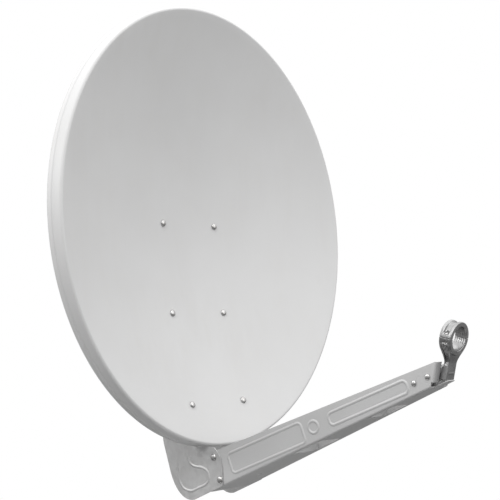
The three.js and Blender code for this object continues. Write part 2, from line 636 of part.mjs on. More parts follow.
function armGeometry() {
  const sheet = ARM_SHEET / Math.cos(rad(ARM_FLOOR_RISE));
  const outer = armSolid(0, 0, 0, ARM_REAR_Y, 0);
  const hollow = armSolid(ARM_SHEET, ARM_SHEET, sheet, ARM_REAR_Y + OVER, OVER);
  const mouthTop = armTop(ARM_FRONT_Y) + OVER;
  const mouthFloor = floorBehindFront(0).z + 2 * sheet;
  const mouthHalf = ARM_FRONT_HALF_WIDTH - ARM_LIP;
  const mouth = box(-mouthHalf, mouthHalf, ARM_FRONT_Y - OVER, ARM_FRONT_Y + 4 * OVER, mouthFloor, mouthTop);
  const beads = armBeads().flatMap((outline) => SIDES.map(([, sign]) => armBead(outline, sign)));
  const shell = outer.subtract(hollow).subtract(solid(mouth));
  const additions = [...armTabs.map(armTab), armTongue(), ...beads];
  const body = additions.map(solid).reduce((all, next) => all.add(next), shell);
  const reach = ARM_HALF_WIDTH + OVER;
  const drain = { y: ARM_DRAIN.y, z: armFloor(ARM_DRAIN.y) };
  const tools = [
    hookSlot(),
    ...[hookBolt, foldBolt].map(({ y, z }) => holesAlongX(M6.shank + HOLE_PLAY, y, z, reach)),
    ...baseBolts.map(({ y, z }) => holesAlongX(M5.shank + HOLE_PLAY, y, z, reach)),
    ...armTabs.map(armWindow),
    rod(ARM_DRAIN.radius, vec(0, drain.y, drain.z - OVER), vec(0, drain.y, drain.z + OVER)),
  ];
  return geometryOf(cut(body, ...tools));
}
piece(dish, "arm_channel", armGeometry(), ARM_COAT);

["front", "rear"].forEach((name, index) => {
  const place = baseBolts[index];
  const wall = armHalfWidth(place.y + M5.head);
  boltAndNut(dish, `feed_${name}`, M5, place, -wall, wall);
});

// ---------------------------------------------------------------- feed clamp

const SCREW_X = RING_INNER + RING_WALL / 2 + 0.5;
const EAR_HEIGHT = 5.5;

const halfRing = (radius, from, to) => arc(radius, from, to, 12);

// One half of the ring: a half annulus with its ends cut back by half the split.
function ringHalf(fromDegrees) {
  const outline = [
    ...halfRing(RING_OUTER, fromDegrees, fromDegrees + 180),
    ...halfRing(RING_INNER, fromDegrees + 180, fromDegrees),
  ];
  return prism(polygon(outline), "y", -RING_LENGTH / 2, RING_LENGTH / 2);
}

// Groove round the outside of one half, between its two flanges. It stops short of the stem.
function ringGroove(fromDegrees, toDegrees) {
  const outline = [
    ...arc(RING_OUTER + OVER, fromDegrees, toDegrees, 12),
    ...arc(RING_OUTER - RING_GROOVE.depth, toDegrees, fromDegrees, 12),
  ];
  return prism(polygon(outline), "y", -RING_GROOVE.width / 2, RING_GROOVE.width / 2);
}

const splitCutter = () =>
  box(-RING_OUTER - OVER, RING_OUTER + OVER, -RING_LENGTH, RING_LENGTH, -RING_SPLIT / 2, RING_SPLIT / 2);

const SPLIT_END = THREE.MathUtils.radToDeg(Math.asin(EAR_HEIGHT / RING_OUTER));

function capGeometry() {
  const body = cut(join(ringHalf(0)), ringGroove(SPLIT_END + 2, 178 - SPLIT_END), splitCutter());
  const screws = SIDES.flatMap(([, sign]) => {
    const x = sign * SCREW_X;
    const seat = EAR_HEIGHT;
    return [
      rod(M4.head + HOLE_PLAY, vec(x, 0, seat), vec(x, 0, RING_OUTER), 12),
      rod(M4.shank + HOLE_PLAY / 2, vec(x, 0, -OVER), vec(x, 0, RING_OUTER)),
    ];
  });
  return geometryOf(cut(body, ...screws));
}

// Pulls the stem from the ring's full length to its own depth.
function toStem(point) {
  const share = THREE.MathUtils.clamp((-point.z - STEM_SHOULDER) / (STEM_WAIST - STEM_SHOULDER), 0, 1);
  const scale = THREE.MathUtils.lerp(1, STEM_DEPTH / RING_LENGTH, share);
  point.y = point.y * scale + share * (STEM_BACK - STEM_DEPTH / 2);
}

function stemGeometry() {
  const shoulder = RING_OUTER * Math.cos(Math.asin(STEM_SHOULDER / RING_OUTER));
  const half = STEM_HALF_WIDTH;
  const outline = [[-shoulder, -STEM_SHOULDER], [-half, -STEM_WAIST], [-half, -STEM_FOOT]];
  outline.push([half, -STEM_FOOT], [half, -STEM_WAIST], [shoulder, -STEM_SHOULDER]);
  return bend(prism(polygon(outline), "y", -RING_LENGTH / 2, RING_LENGTH / 2), toStem);
}

// Hollow in each side of the stem, between its front and back flanges.
function stemFlute(sign) {
  const bottom = -STEM_WAIST - 4;
  const top = -STEM_SHOULDER - 3;
  const shoulder = RING_OUTER - RING_GROOVE.depth;
  const points = [[shoulder, top], [RING_OUTER + OVER, top], [RING_OUTER + OVER, bottom], [STEM_WEB, bottom]];
  const outline = [...points, [STEM_WEB, -STEM_WAIST]].map(([x, z]) => [sign * x, z]);
  if (sign < 0) outline.reverse();
  const half = RING_GROOVE.width / 2;
  return bend(prism(polygon(outline), "y", -half, half), toStem);
}

// Bar inside the arm's front end, along its floor, with a boss to each wall at each bolt.
function baseParts() {
  const half = BASE_HALF_HEIGHT;
  const slope = Math.tan(rad(ARM_FLOOR_RISE));
  const rear = baseBolts[1].y + half + 2;
  const front = ARM_FRONT_Y - (RING_AHEAD - STEM_BACK) - STEM_DEPTH / 2;
  const axisZ = (y) => baseBolts[0].z - (y - baseBolts[0].y) * slope;
  const outline = [[rear, -half], [rear, half], [front, half], [front, -half]];
  const side = polygon(outline.map(([y, dz]) => toClamp(y, axisZ(y) + dz)));
  const bar = prism(side, "x", -BASE_HALF_WIDTH, BASE_HALF_WIDTH);
  const bosses = baseBolts.map(({ y, z }) => {
    const [cy, cz] = toClamp(y, z);
    const reach = armHalfWidth(y - half) - ARM_SHEET - 2 * GAP;
    return rod(half - 2, vec(-reach, cy, cz), vec(reach, cy, cz), 12);
  });
  return [bar, ...bosses];
}

function holderGeometry() {
  const body = cut(join(ringHalf(180), stemGeometry()), splitCutter());
  const tools = [
    rod(RING_INNER, vec(0, -RING_LENGTH, 0), vec(0, RING_LENGTH, 0), 24),
    ringGroove(180 + SPLIT_END + 2, 200),
    ringGroove(340, 358 - SPLIT_END),
    ...SIDES.map(([, sign]) => stemFlute(sign)),
    ...SIDES.map(([, sign]) => {
      const bottom = vec(sign * SCREW_X, 0, -EAR_HEIGHT - 2 * OVER);
      return rod(M4.shank + HOLE_PLAY / 2, bottom, vec(sign * SCREW_X, 0, OVER));
    }),
  ];
  const ring = cut(body, ...tools);
  const whole = baseParts().map(solid).reduce((all, next) => all.add(next), ring);
  const bolts = baseBolts.map(({ y, z }) =>
    holesAlongX(M5.shank + HOLE_PLAY, ...toClamp(y, z), ARM_HALF_WIDTH));
  return geometryOf(cut(whole, ...bolts));
}

piece(feedClamp, "feed_clamp_base", holderGeometry(), CASTING);
piece(feedClamp, "feed_clamp_cap", capGeometry(), CASTING);
for (const [side, sign] of SIDES) {
  const length = EAR_HEIGHT * 2 + OVER;
  const head = vec(sign * SCREW_X, 0, EAR_HEIGHT + GAP);
  piece(feedClamp, `cap_screw_${side}`, domedBolt(M4, length), ZINC, head, vec(0, 0, 1));
}

// ---------------------------------------------------------------- mast clamp

// Cheek seen from the side: round the pivot at the top, round the lock bolt's slot below.
function cheekShape() {
  const slotTop = PIVOT.z - LOCK_RADIUS * Math.cos(rad(TILT_UP)) + 24;
  const slotFront = PIVOT.y - LOCK_RADIUS * Math.sin(rad(TILT_UP)) - 12;
  const points = [
    [SADDLE_REAR_Y - SADDLE_SHEET / 2, -SADDLE_HALF_HEIGHT],
    [SADDLE_REAR_Y - SADDLE_SHEET / 2, SADDLE_HALF_HEIGHT],
    ...arc(21, 80, 180, 5, PIVOT.y, PIVOT.z),
    [slotFront, slotTop],
    [slotFront, slotTop - 34],
    [PIVOT.y + 4, PIVOT.z - LOCK_RADIUS - 26],
  ];
  const shape = polygon(points);
  shape.holes.push(polygon(arc(M8.shank + HOLE_PLAY, 0, 324, 9, PIVOT.y, PIVOT.z)));
  const down = -90;
  const half = M8.shank + HOLE_PLAY;
  const margin = 2;
  const from = down - TILT_UP - margin;
  const to = down + TILT_DOWN + margin;
  const slot = [
    ...arc(LOCK_RADIUS + half, from, to, 8, PIVOT.y, PIVOT.z),
    ...slotEnd(to, 0, 180, half),
    ...arc(LOCK_RADIUS - half, to, from, 8, PIVOT.y, PIVOT.z),
    ...slotEnd(from, 180, 360, half),
  ];
  shape.holes.push(polygon(slot));
  return shape;
}

// Round end of the slot at an angle about the pivot, without the two corners that it shares.
function slotEnd(atDegrees, fromTurn, toTurn, half) {
  const angle = rad(atDegrees);
  const centre = [PIVOT.y + LOCK_RADIUS * Math.cos(angle), PIVOT.z + LOCK_RADIUS * Math.sin(angle)];
  return arc(half, atDegrees + fromTurn, atDegrees + toTurn, 4, ...centre).slice(1, -1);
}

const clampBoltPlaces = [["upper", JAW_Z], ["lower", -JAW_Z]].flatMap(([level, z]) =>
  SIDES.map(([side, sign]) => ({ name: `${level}_${side}`, x: sign * CLAMP_BOLT_X, z })));

const clampBoltHoles = () => clampBoltPlaces.map(({ x, z }) =>
  rod(M8.shank + HOLE_PLAY, vec(x, -JAW_REAR - 2 * OVER, z), vec(x, JAW_REAR + 2 * OVER, z)));

function saddleGeometry() {
  const half = SADDLE_HALF_HEIGHT;
  const web = box(-CHEEK_OUTER_X, CHEEK_OUTER_X, SADDLE_FRONT_Y, SADDLE_REAR_Y, -half, half);
  const cheeks = [[-CHEEK_OUTER_X, -CHEEK_INNER_X], [CHEEK_INNER_X, CHEEK_OUTER_X]];
  const body = join(web, ...cheeks.map(([from, to]) => prism(cheekShape(), "x", from, to)));
  return geometryOf(cut(body, ...clampBoltHoles()));
}
piece(antenna, "mast_saddle", saddleGeometry(), GALVANISED);

// Toothed jaw: a bar with a V towards the mast, drawn for the front of the mast.
function jawGeometry() {
  const lip = JAW_ROOT - JAW_V_HALF_WIDTH * Math.tan(rad(JAW_V_SLOPE));
  const face = steps(2 * JAW_TEETH).map((t, index) => {
    const x = JAW_V_HALF_WIDTH * (1 - t);
    const root = index % 2 === 1 ? JAW_TOOTH : 0;
    return [x, -(JAW_ROOT - x * Math.tan(rad(JAW_V_SLOPE)) + root)];
  });
  const mirrored = face.slice(0, -1).reverse().map(([x, y]) => [-x, y]);
  const outline = [[-JAW_HALF_WIDTH, -JAW_REAR], [JAW_HALF_WIDTH, -JAW_REAR], [JAW_HALF_WIDTH, -lip]];
  outline.push(...face, ...mirrored, [-JAW_HALF_WIDTH, -lip]);
  const holes = SIDES.map(([, sign]) => {
    const x = sign * CLAMP_BOLT_X;
    return rod(M8.shank + HOLE_PLAY, vec(x, -JAW_REAR - OVER, 0), vec(x, OVER, 0));
  });
  const bar = prism(polygon(outline), "z", -JAW_HEIGHT / 2, JAW_HEIGHT / 2);
  return geometryOf(cut(join(bar), ...holes));
}

for (const [level, z] of [["upper", JAW_Z], ["lower", -JAW_Z]]) {
  piece(antenna, `front_jaw_${level}`, jawGeometry(), CASTING, vec(0, 0, z));
  piece(antenna, `rear_jaw_${level}`, jawGeometry(), CASTING, vec(0, 0, z)).rotateZ(Math.PI);
}

for (const { name, x, z } of clampBoltPlaces) {
  const head = vec(x, SADDLE_FRONT_Y - GAP, z);
  const seat = vec(x, JAW_REAR + GAP, z);
  const length = seat.y - head.y + M8.nut + JAW_TRAVEL_OPEN + PAST_NUT;
  piece(antenna, `clamp_bolt_${name}`, domedBolt(M8, length), ZINC, head, vec(0, -1, 0));
  piece(antenna, `clamp_nut_${name}`, hexagonNut(M8), ZINC, seat, vec(0, 1, 0));
}

export default antenna;
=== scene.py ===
"""Looks of the offset satellite dish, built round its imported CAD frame.

Sizes are in millimetres. Pieces are drawn in the frame that they belong to (dish, feed clamp or antenna)
and turned into the row frame, in metres, by that frame's matrix.
"""
import json
import math

import bmesh
import bpy
from mathutils import Matrix, Vector


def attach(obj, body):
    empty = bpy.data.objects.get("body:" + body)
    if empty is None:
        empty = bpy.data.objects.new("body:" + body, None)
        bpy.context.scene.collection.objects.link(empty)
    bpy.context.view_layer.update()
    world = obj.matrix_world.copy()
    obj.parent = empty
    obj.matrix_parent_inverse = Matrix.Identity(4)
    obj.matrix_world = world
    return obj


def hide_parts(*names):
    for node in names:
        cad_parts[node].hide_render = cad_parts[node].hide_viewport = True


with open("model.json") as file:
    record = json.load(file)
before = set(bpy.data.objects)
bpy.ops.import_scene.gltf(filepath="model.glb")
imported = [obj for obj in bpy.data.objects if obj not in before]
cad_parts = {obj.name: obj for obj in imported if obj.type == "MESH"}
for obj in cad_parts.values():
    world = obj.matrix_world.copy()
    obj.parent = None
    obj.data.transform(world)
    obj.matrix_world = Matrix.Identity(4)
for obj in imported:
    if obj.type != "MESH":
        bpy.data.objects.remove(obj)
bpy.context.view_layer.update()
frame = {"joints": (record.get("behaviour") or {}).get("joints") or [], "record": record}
MM = 0.001

# ---------------- sizes that the CAD part has

DISH_WIDTH = 785
DISH_HEIGHT = 850
DISH_DEPTH = 76
DISH_SHEET = 1.6
DISH_LEAN = 4.5
CREST_RADIUS = 5
RIM_DEPTH = 33
HEM_DEPTH = 9
HEM_PROUD = 2
PIVOT_IN_DISH = Vector((0, 125, -110))
LOCK_RADIUS = 55
DISH_BOLT_X = 72.3
DISH_BOLT_TOP = 6.5
DISH_BOLT_PITCH = 174

PLATE_INNER_X = 55
PLATE_UNDER_RIM = 0.6
PLATE_SHEET = 2
FLANGE_OUTER_X = 92
FLANGE_TOP = 32
FLANGE_BOTTOM = -372
PLATE_BACK_TOP = (142, -200)
# Places on the side plate's outline, as (y, distance below the rim).
PLATE_NOSE = ((-20, 5), (-27, 15), (-30, 33))
PLATE_HEEL = ((78, 99), (99, 67), (106, 33))
PLATE_BACK_FOOT = (118, -11)
TIE_SHEET = 2
TIE_HEIGHT = 32
TIE_LEG = 22
TIE_TOPS = {"upper": 30, "lower": -298}
TIE_CLEARANCE = 4

ARM_SHEET = 1.5
ARM_REAR_Y = 5
ARM_FRONT_Y = -488
ARM_TOP_START = (-12, 3.9)
ARM_REAR_DROP = 11
ARM_TOP_RISE = 16.75
ARM_FLOOR_START = (20, 85)
ARM_FLOOR_RISE = 20.2
ARM_TAPER_Y = -32
ARM_FRONT_HALF_WIDTH = 26
ARM_LIP = 17
ARM_TONGUE = 19
ARM_TONGUE_HALF = 12
ARM_TABS = ((-178.1, 62), (-341.6, 52))
ARM_WINDOW_EDGE = 9
ARM_DRAIN = (-71, 4)
BASE_BOLTS = (11.5, 34)
BASE_BOLT_RISE = 19.5

RING_INNER = 20
RING_OUTER = 28
RING_LENGTH = 22
RING_TILT = 16
RING_AHEAD = 9
RING_ABOVE = 40.5
RING_SPLIT = 0.35
GROOVE_DEPTH = 3.5
GROOVE_WIDTH = 12
SCREW_X = 24.5
EAR_HEIGHT = 5.5
STEM_HALF_WIDTH = 12
STEM_DEPTH = 10
STEM_BACK = 3.5
STEM_SHOULDER = 9.6
STEM_WAIST = 41
BASE_HALF_WIDTH = 7.5
BASE_HALF_HEIGHT = 9

MAST_RADIUS = 30
SADDLE_SHEET = 3
SADDLE_HALF_HEIGHT = 72
PIVOT_AHEAD = 38
JAW_HEIGHT = 26
JAW_Z = 46
JAW_HALF_WIDTH = 50
JAW_V_HALF_WIDTH = 32
JAW_V_SLOPE = 30
JAW_BACK = 4
JAW_TOOTH = 2
JAW_TEETH = 6
CLAMP_BOLT_X = 39.5
TILT_UP = 25
TILT_DOWN = 17

SIDES = (("left", -1), ("right", 1))
JAW_LEVELS = (("upper", JAW_Z), ("lower", -JAW_Z))
GAP = 0.3
HOLE_PLAY = 0.4

# Fasteners: radius of shank and head, height of the dome, size across flats, height of the nut.
FASTENERS = {
    "M4": (2, 3.4, 2.6, 7, 3.2),
    "M5": (2.5, 4.8, 2.6, 8, 4),
    "M6": (3, 6.5, 3.6, 10, 5),
    "M8": (4, 8, 4.6, 13, 6.5),
}

# ---------------- sizes of what only shows

BEND = 3.0  # outer radius of a fold in the arm
FLANGE_BEND = 2.5  # hollow radius between side plate and flange
EDGE = 0.35  # rounding of a cut sheet edge
CORNER_POINTS = 5  # on a rounded corner of an outline
TIE_BEND = 4
SADDLE_BEND = 4
PLATE_BEAD_WIDTH = 7
ARM_BEAD_WIDTH = 7.5
BEAD_HEIGHT = 1.2
BEAD_SUNK = 0.12  # depth of a bead's edge in its wall
# Bead round the lower part of a side plate: (y, distance below the rim).
PLATE_BEAD = ((55, 15), (51, 26), (38, 32.5), (20, 34.5), (7, 42), (5, 56), (13, 65), (32, 72))
PLATE_BEAD += ((51, 78), (70, 73.5), (80, 61), (83.5, 46), (83, 35.5))
BEAD_ZONE = (-45.5, -432)  # where the arm's beads start and end
BEAD_INSET = 2.5
ROUND_BEAD_ALONG = 0.4955
ROUND_BEAD_RADIUS = 13
ROUND_BEAD_GAPS = (7.5, 18)  # to the bead behind it and the one in front
REAR_BEAD = (42, 10, 1)  # height, corner radius, drop below the middle of the wall
FRONT_BEAD = (27, 11, 0)
ARM_RELIEF = 5.0  # slot left between the arm's front lip and its floor
THREAD_PITCH = 1.0
PAST_NUT = 3  # thread that stands out of a nut
PAST_CLAMP_NUT = 11
REFLECTOR_SIDES = 216
BORE_RIBS = 5
BORE_RIB_HEIGHT = 0.55
BASE_GROOVE_SHARE = 0.35  # of the groove's depth, on the lower half of the ring


def hole(size):
    """Radius of a clearance hole."""
    return FASTENERS[size][0] + HOLE_PLAY


def tan(degrees):
    return math.tan(math.radians(degrees))


def sin(degrees):
    return math.sin(math.radians(degrees))


def cos(degrees):
    return math.cos(math.radians(degrees))


def mirrored(half):
    """Half of an outline, and its image across x = 0 that closes it."""
    return [*half, *[(-x, other) for x, other in reversed(half)]]


def steps(count):
    return [i / count for i in range(count + 1)]


def around(count):
    return [360 * i / count for i in range(count)]


def arc(radius, start, end, count, cx=0.0, cy=0.0):
    angles = [start + (end - start) * t for t in steps(count)]
    return [(cx + radius * cos(a), cy + radius * sin(a)) for a in angles]


# ---------------- frames

tilt = next(j for j in frame["joints"] if j["name"] == "elevation_tilt")
PIVOT = Vector(tilt["pos_m"])
ANTENNA = Matrix.Diagonal((MM, MM, MM, 1))
DISH = (
    Matrix.Translation(PIVOT)
    @ Matrix.Rotation(-math.radians(DISH_LEAN), 4, "X")
    @ ANTENNA
    @ Matrix.Translation(-PIVOT_IN_DISH)
)

# ---------------- shapes that several pieces share

RIM_SLOPE = math.degrees(math.atan(2 * DISH_DEPTH / (DISH_HEIGHT / 2)))
CREST_WIDTH = CREST_RADIUS * (1 + sin(RIM_SLOPE))
BOWL_X = DISH_WIDTH / 2 - CREST_WIDTH - HEM_PROUD
BOWL_Z = DISH_HEIGHT / 2 - CREST_WIDTH - HEM_PROUD
RIM_BOTTOM = -DISH_HEIGHT / 2
FLANGE_FRONT = DISH_SHEET + GAP
FLANGE_BACK = FLANGE_FRONT + PLATE_SHEET
PLATE_OUTER_X = PLATE_INNER_X + PLATE_SHEET
ARM_HALF_WIDTH = PLATE_INNER_X - GAP
ARM_TAPER = (ARM_HALF_WIDTH - ARM_FRONT_HALF_WIDTH) / (ARM_TAPER_Y - ARM_FRONT_Y)
HOOK_BOLT = (-10.5, RIM_BOTTOM - 15)
FOLD_BOLT = (-23.5, RIM_BOTTOM - 56)
LOCK_BOLT = (
    PIVOT_IN_DISH.y + LOCK_RADIUS * sin(DISH_LEAN),
    PIVOT_IN_DISH.z - LOCK_RADIUS * cos(DISH_LEAN),
)


def bowl_depth(x, z):
    return DISH_DEPTH * (1 - (x / BOWL_X) ** 2 - (z / BOWL_Z) ** 2)


def bowl_normal(x, z):
    slope_x = 2 * DISH_DEPTH * x / BOWL_X**2
    slope_z = 2 * DISH_DEPTH * z / BOWL_Z**2
    return Vector((slope_x, 1, slope_z)).normalized()


def behind_bowl(x, z, distance):
    return bowl_depth(x, z) + distance / bowl_normal(x, z).y


def arm_half_width(y):
    return ARM_HALF_WIDTH - max(ARM_TAPER_Y - y, 0) * ARM_TAPER


def arm_top(y):
    return RIM_BOTTOM - ARM_TOP_START[1] + (ARM_TOP_START[0] - y) * tan(ARM_TOP_RISE)


def arm_floor(y):
    return RIM_BOTTOM - ARM_FLOOR_START[1] + (ARM_FLOOR_START[0] - y) * tan(ARM_FLOOR_RISE)


NECK = (cos(RING_TILT), sin(RING_TILT))  # (y, z) of the direction along the feed neck
STEM = (-sin(RING_TILT), cos(RING_TILT))  # and of the direction up the stem


def front_line(distance, drop):
    """Point of the arm's side view, some way behind its front edge and down from its top corner."""
    y = ARM_FRONT_Y + distance * NECK[0] - drop * STEM[0]
    z = arm_top(ARM_FRONT_Y) + distance * NECK[1] - drop * STEM[1]
    return y, z


def front_meets(distance, line, slope, rise=0):
    """Where a line behind the arm's front edge is a given rise above another line of its side view."""
    y, z = front_line(distance, 0)
    return front_line(distance, (z - line(y) - rise) / (STEM[1] + tan(slope) * STEM[0]))


def front_above_floor(distance, rise):
    return front_meets(distance, arm_floor, ARM_FLOOR_RISE, rise)


def front_top(distance):
    return front_meets(distance, arm_top, ARM_TOP_RISE)


RING_CENTRE = (
    ARM_FRONT_Y - RING_AHEAD * NECK[0] + RING_ABOVE * STEM[0],
    arm_top(ARM_FRONT_Y) - RING_AHEAD * NECK[1] + RING_ABOVE * STEM[1],
)
CLAMP = (
    DISH
    @ Matrix.Translation((0, RING_CENTRE[0], RING_CENTRE[1]))
    @ Matrix.Rotation(math.radians(RING_TILT), 4, "X")
)


def to_clamp(y, z):
    dy, dz = y - RING_CENTRE[0], z - RING_CENTRE[1]
    return dy * NECK[0] + dz * NECK[1], dy * STEM[0] + dz * STEM[1]


stem_front = RING_AHEAD + STEM_DEPTH - STEM_BACK
STEM_FOOT = -to_clamp(*front_above_floor(-stem_front, ARM_SHEET / cos(ARM_FLOOR_RISE) + 2 * GAP))[1]
base_bolts = [front_above_floor(distance, BASE_BOLT_RISE) for distance in BASE_BOLTS]

JAW_ROOT = MAST_RADIUS / cos(JAW_V_SLOPE)
JAW_REAR = JAW_ROOT + JAW_BACK
SADDLE_REAR_Y = -(JAW_REAR + GAP)
SADDLE_FRONT_Y = SADDLE_REAR_Y - SADDLE_SHEET
CHEEK_OUTER_X = PLATE_INNER_X - GAP
CHEEK_INNER_X = CHEEK_OUTER_X - SADDLE_SHEET
PIVOT_YZ = (SADDLE_FRONT_Y - PIVOT_AHEAD, PIVOT.z / MM)


# ---------------- materials


def grey(level, warm=0.0):
    return (level * (1 + warm), level, level * (1 - warm))


class Nodes:
    """Small helper round one material's node tree."""

    def __init__(self, name, level, roughness, metallic):
        self.material = bpy.data.materials.new(name)
        self.material.use_nodes = True
        self.tree = self.material.node_tree
        self.shader = self.tree.nodes["Principled BSDF"]
        self.shader.inputs["Base Color"].default_value = (*grey(level), 1)
        self.shader.inputs["Roughness"].default_value = roughness
        self.shader.inputs["Metallic"].default_value = metallic
        self.place = self.tree.nodes.new("ShaderNodeTexCoord").outputs["Object"]

    def new(self, kind, **inputs):
        node = self.tree.nodes.new(kind)
        for key, value in inputs.items():
            node.inputs[key.replace("_", " ")].default_value = value
        return node

    def link(self, output, socket):
        self.tree.links.new(output, socket)

    def stretched(self, scale):
        node = self.new("ShaderNodeMapping", Scale=scale)
        self.link(self.place, node.inputs["Vector"])
        return node.outputs["Vector"]

    def into(self, name, output):
        self.link(output, self.shader.inputs[name])

    def noise(self, scale, detail=3.0, roughness=0.5, vector=None):
        node = self.new("ShaderNodeTexNoise", Scale=scale, Detail=detail, Roughness=roughness)
        self.link(vector or self.place, node.inputs["Vector"])
        return node.outputs["Fac"]

    def cells(self, scale):
        node = self.new("ShaderNodeTexVoronoi", Scale=scale)
        self.link(self.place, node.inputs["Vector"])
        split = self.new("ShaderNodeSeparateColor")
        self.link(node.outputs["Color"], split.inputs["Color"])
        return split.outputs["Red"]

    def ramp(self, value, *stops):
        """A ramp between two stops, each a position and what grey() takes."""
        node = self.new("ShaderNodeValToRGB")
        for element, (position, *shade) in zip(node.color_ramp.elements, stops):
            element.position, element.color = position, (*grey(*shade), 1)
        self.link(value, node.inputs["Fac"])
        return node.outputs["Color"]

    def blend(self, share, first, second):
        node = self.new("ShaderNodeMix")
        node.data_type = "RGBA"
        self.link(share, node.inputs["Factor"])
        self.link(first, node.inputs[6])
        self.link(second, node.inputs[7])
        return node.outputs[2]

    def spread(self, value, low, high):
        node = self.new("ShaderNodeMapRange", From_Min=0.3, From_Max=0.7, To_Min=low, To_Max=high)
        self.link(value, node.inputs["Value"])
        return node.outputs["Result"]

    def bump(self, *layers):
        """Each layer is (height, strength, distance in metres)."""
        normal = None
        for height, strength, distance in layers:
            node = self.new("ShaderNodeBump", Strength=strength, Distance=distance)
            self.link(height, node.inputs["Height"])
            if normal:
                self.link(normal, node.inputs["Normal"])
            normal = node.outputs["Normal"]
        self.into("Normal", normal)


def powder_coat(name, level, roughness, metallic, speck):
    """Sprayed powder coat: fine orange peel, soft colour drift, faint rain streaks and specks."""
    n = Nodes(name, level, roughness, metallic)
    drift = n.ramp(n.noise(3.5, 4.0), (0.3, level * 0.965), (0.7, level * 1.03))
    streaks = n.noise(1.0, 5.0, 0.6, n.stretched((38.0, 38.0, 2.2)))
    rained = n.ramp(n.noise(9.0, 5.0), (0.35, level * 0.93, 0.012), (0.65, level * 1.02))
    share = n.spread(streaks, 0.0, 0.45)
    colour = n.blend(share, drift, rained)
    specks = n.ramp(n.noise(speck, 2.0, 0.7), (0.66, 0.0), (0.8, 0.35))
    dusty = n.ramp(n.noise(60.0, 2.0), (0.3, level * 0.8), (0.7, level * 0.9))
    n.into("Base Color", n.blend(specks, colour, dusty))
    n.into("Roughness", n.spread(n.noise(14.0, 4.0), roughness - 0.06, roughness + 0.08))
    n.bump((n.noise(420.0, 2.0), 0.16, 0.0004), (n.noise(1500.0, 1.0), 0.08, 0.0001))
    return n.material


def galvanised(name, level, roughness, metallic):
    """Zinc-dipped sheet: spangle, dull blotches and a few handling scuffs."""
    n = Nodes(name, level, roughness, metallic)
    spangle = n.ramp(n.cells(170.0), (0.1, level * 0.9), (0.9, level * 1.08))
    blotch = n.ramp(n.noise(16.0, 5.0), (0.35, level * 0.86, 0.01), (0.7, level * 1.05))
    colour = n.blend(n.spread(n.noise(24.0, 3.0), 0.3, 0.8), spangle, blotch)
    scuffs = n.noise(1.0, 3.0, 0.5, n.stretched((30.0, 420.0, 60.0)))
    bright = n.ramp(n.noise(90.0, 2.0), (0.2, level * 1.12), (0.8, level * 1.25))
    n.into("Base Color", n.blend(n.spread(scuffs, -0.8, 0.25), colour, bright))
    n.into("Roughness", n.spread(n.cells(170.0), roughness - 0.07, roughness + 0.09))
    n.bump((n.noise(260.0, 3.0), 0.12, 0.0003), (n.cells(170.0), 0.05, 0.0001))
    return n.material


def casting(name, level, roughness):
    """Die-cast metal, tumbled: fine pits, darker in patches, rubbed bright in others."""
    n = Nodes(name, level, roughness, 1.0)
    n.into("Base Color", n.ramp(n.noise(55.0, 6.0, 0.6), (0.3, level * 0.72), (0.7, level * 1.18)))
    n.into("Roughness", n.spread(n.noise(120.0, 4.0), roughness - 0.1, roughness + 0.14))
    n.bump((n.noise(700.0, 3.0), 0.3, 0.0002), (n.noise(95.0, 3.0), 0.18, 0.0006))
    return n.material


def plated(name, level, roughness):
    """Bright zinc plate on a cold-headed fastener: turning marks and faint yellowing."""
    n = Nodes(name, level, roughness, 1.0)
    n.into("Base Color", n.ramp(n.noise(150.0, 4.0), (0.3, level * 0.85, 0.03), (0.7, level * 1.1)))
    n.into("Roughness", n.spread(n.noise(300.0, 3.0), roughness - 0.07, roughness + 0.12))
    n.bump((n.noise(900.0, 2.0), 0.14, 0.0002))
    return n.material


LOOKS = {
    "reflector_coat": powder_coat("reflector_coat", 0.60, 0.46, 0.0, 330.0),
    "arm_coat": powder_coat("arm_coat", 0.52, 0.44, 0.15, 420.0),
    "galvanised_steel": galvanised("galvanised_steel", 0.50, 0.45, 0.35),
    "clamp_casting": casting("clamp_casting", 0.36, 0.30),
    "zinc_fasteners": plated("zinc_fasteners", 0.52, 0.24),
}

# ---------------- making pieces


BODIES = frame["record"]["behaviour"]["bodies"]


def added(name, data):
    obj = bpy.data.objects.new(name, data)
    bpy.context.scene.collection.objects.link(obj)
    return obj


def place_on(name, mesh, matrix, look, node):
    """A finished mesh as a piece that rides with a CAD node's body and stands for that node."""
    mesh.transform(matrix)
    mesh.update()
    obj = added(name, mesh)
    mesh.materials.append(LOOKS[look])
    body = next(b for b, members in BODIES.items() if node in members)
    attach(obj, body)
    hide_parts(node)
    return obj


def smooth(obj, angle=None):
    obj.data.polygons.foreach_set("use_smooth", [True] * len(obj.data.polygons))
    if angle:
        obj.data.set_sharp_from_angle(angle=math.radians(angle))


def bevel(obj):
    """Rounds the sharp edges, then weights the normals so that flat faces stay flat."""
    modifier = obj.modifiers.new("edges", "BEVEL")
    modifier.width = EDGE * MM
    modifier.segments = 2
    modifier.limit_method = "ANGLE"
    modifier.angle_limit = math.radians(40)
    modifier.use_clamp_overlap = False
    weighted = obj.modifiers.new("normals", "WEIGHTED_NORMAL")
    weighted.keep_sharp = True


def mesh_of(bm, name):
    mesh = bpy.data.meshes.new(name)
    bm.to_mesh(mesh)
    bm.free()
    return mesh


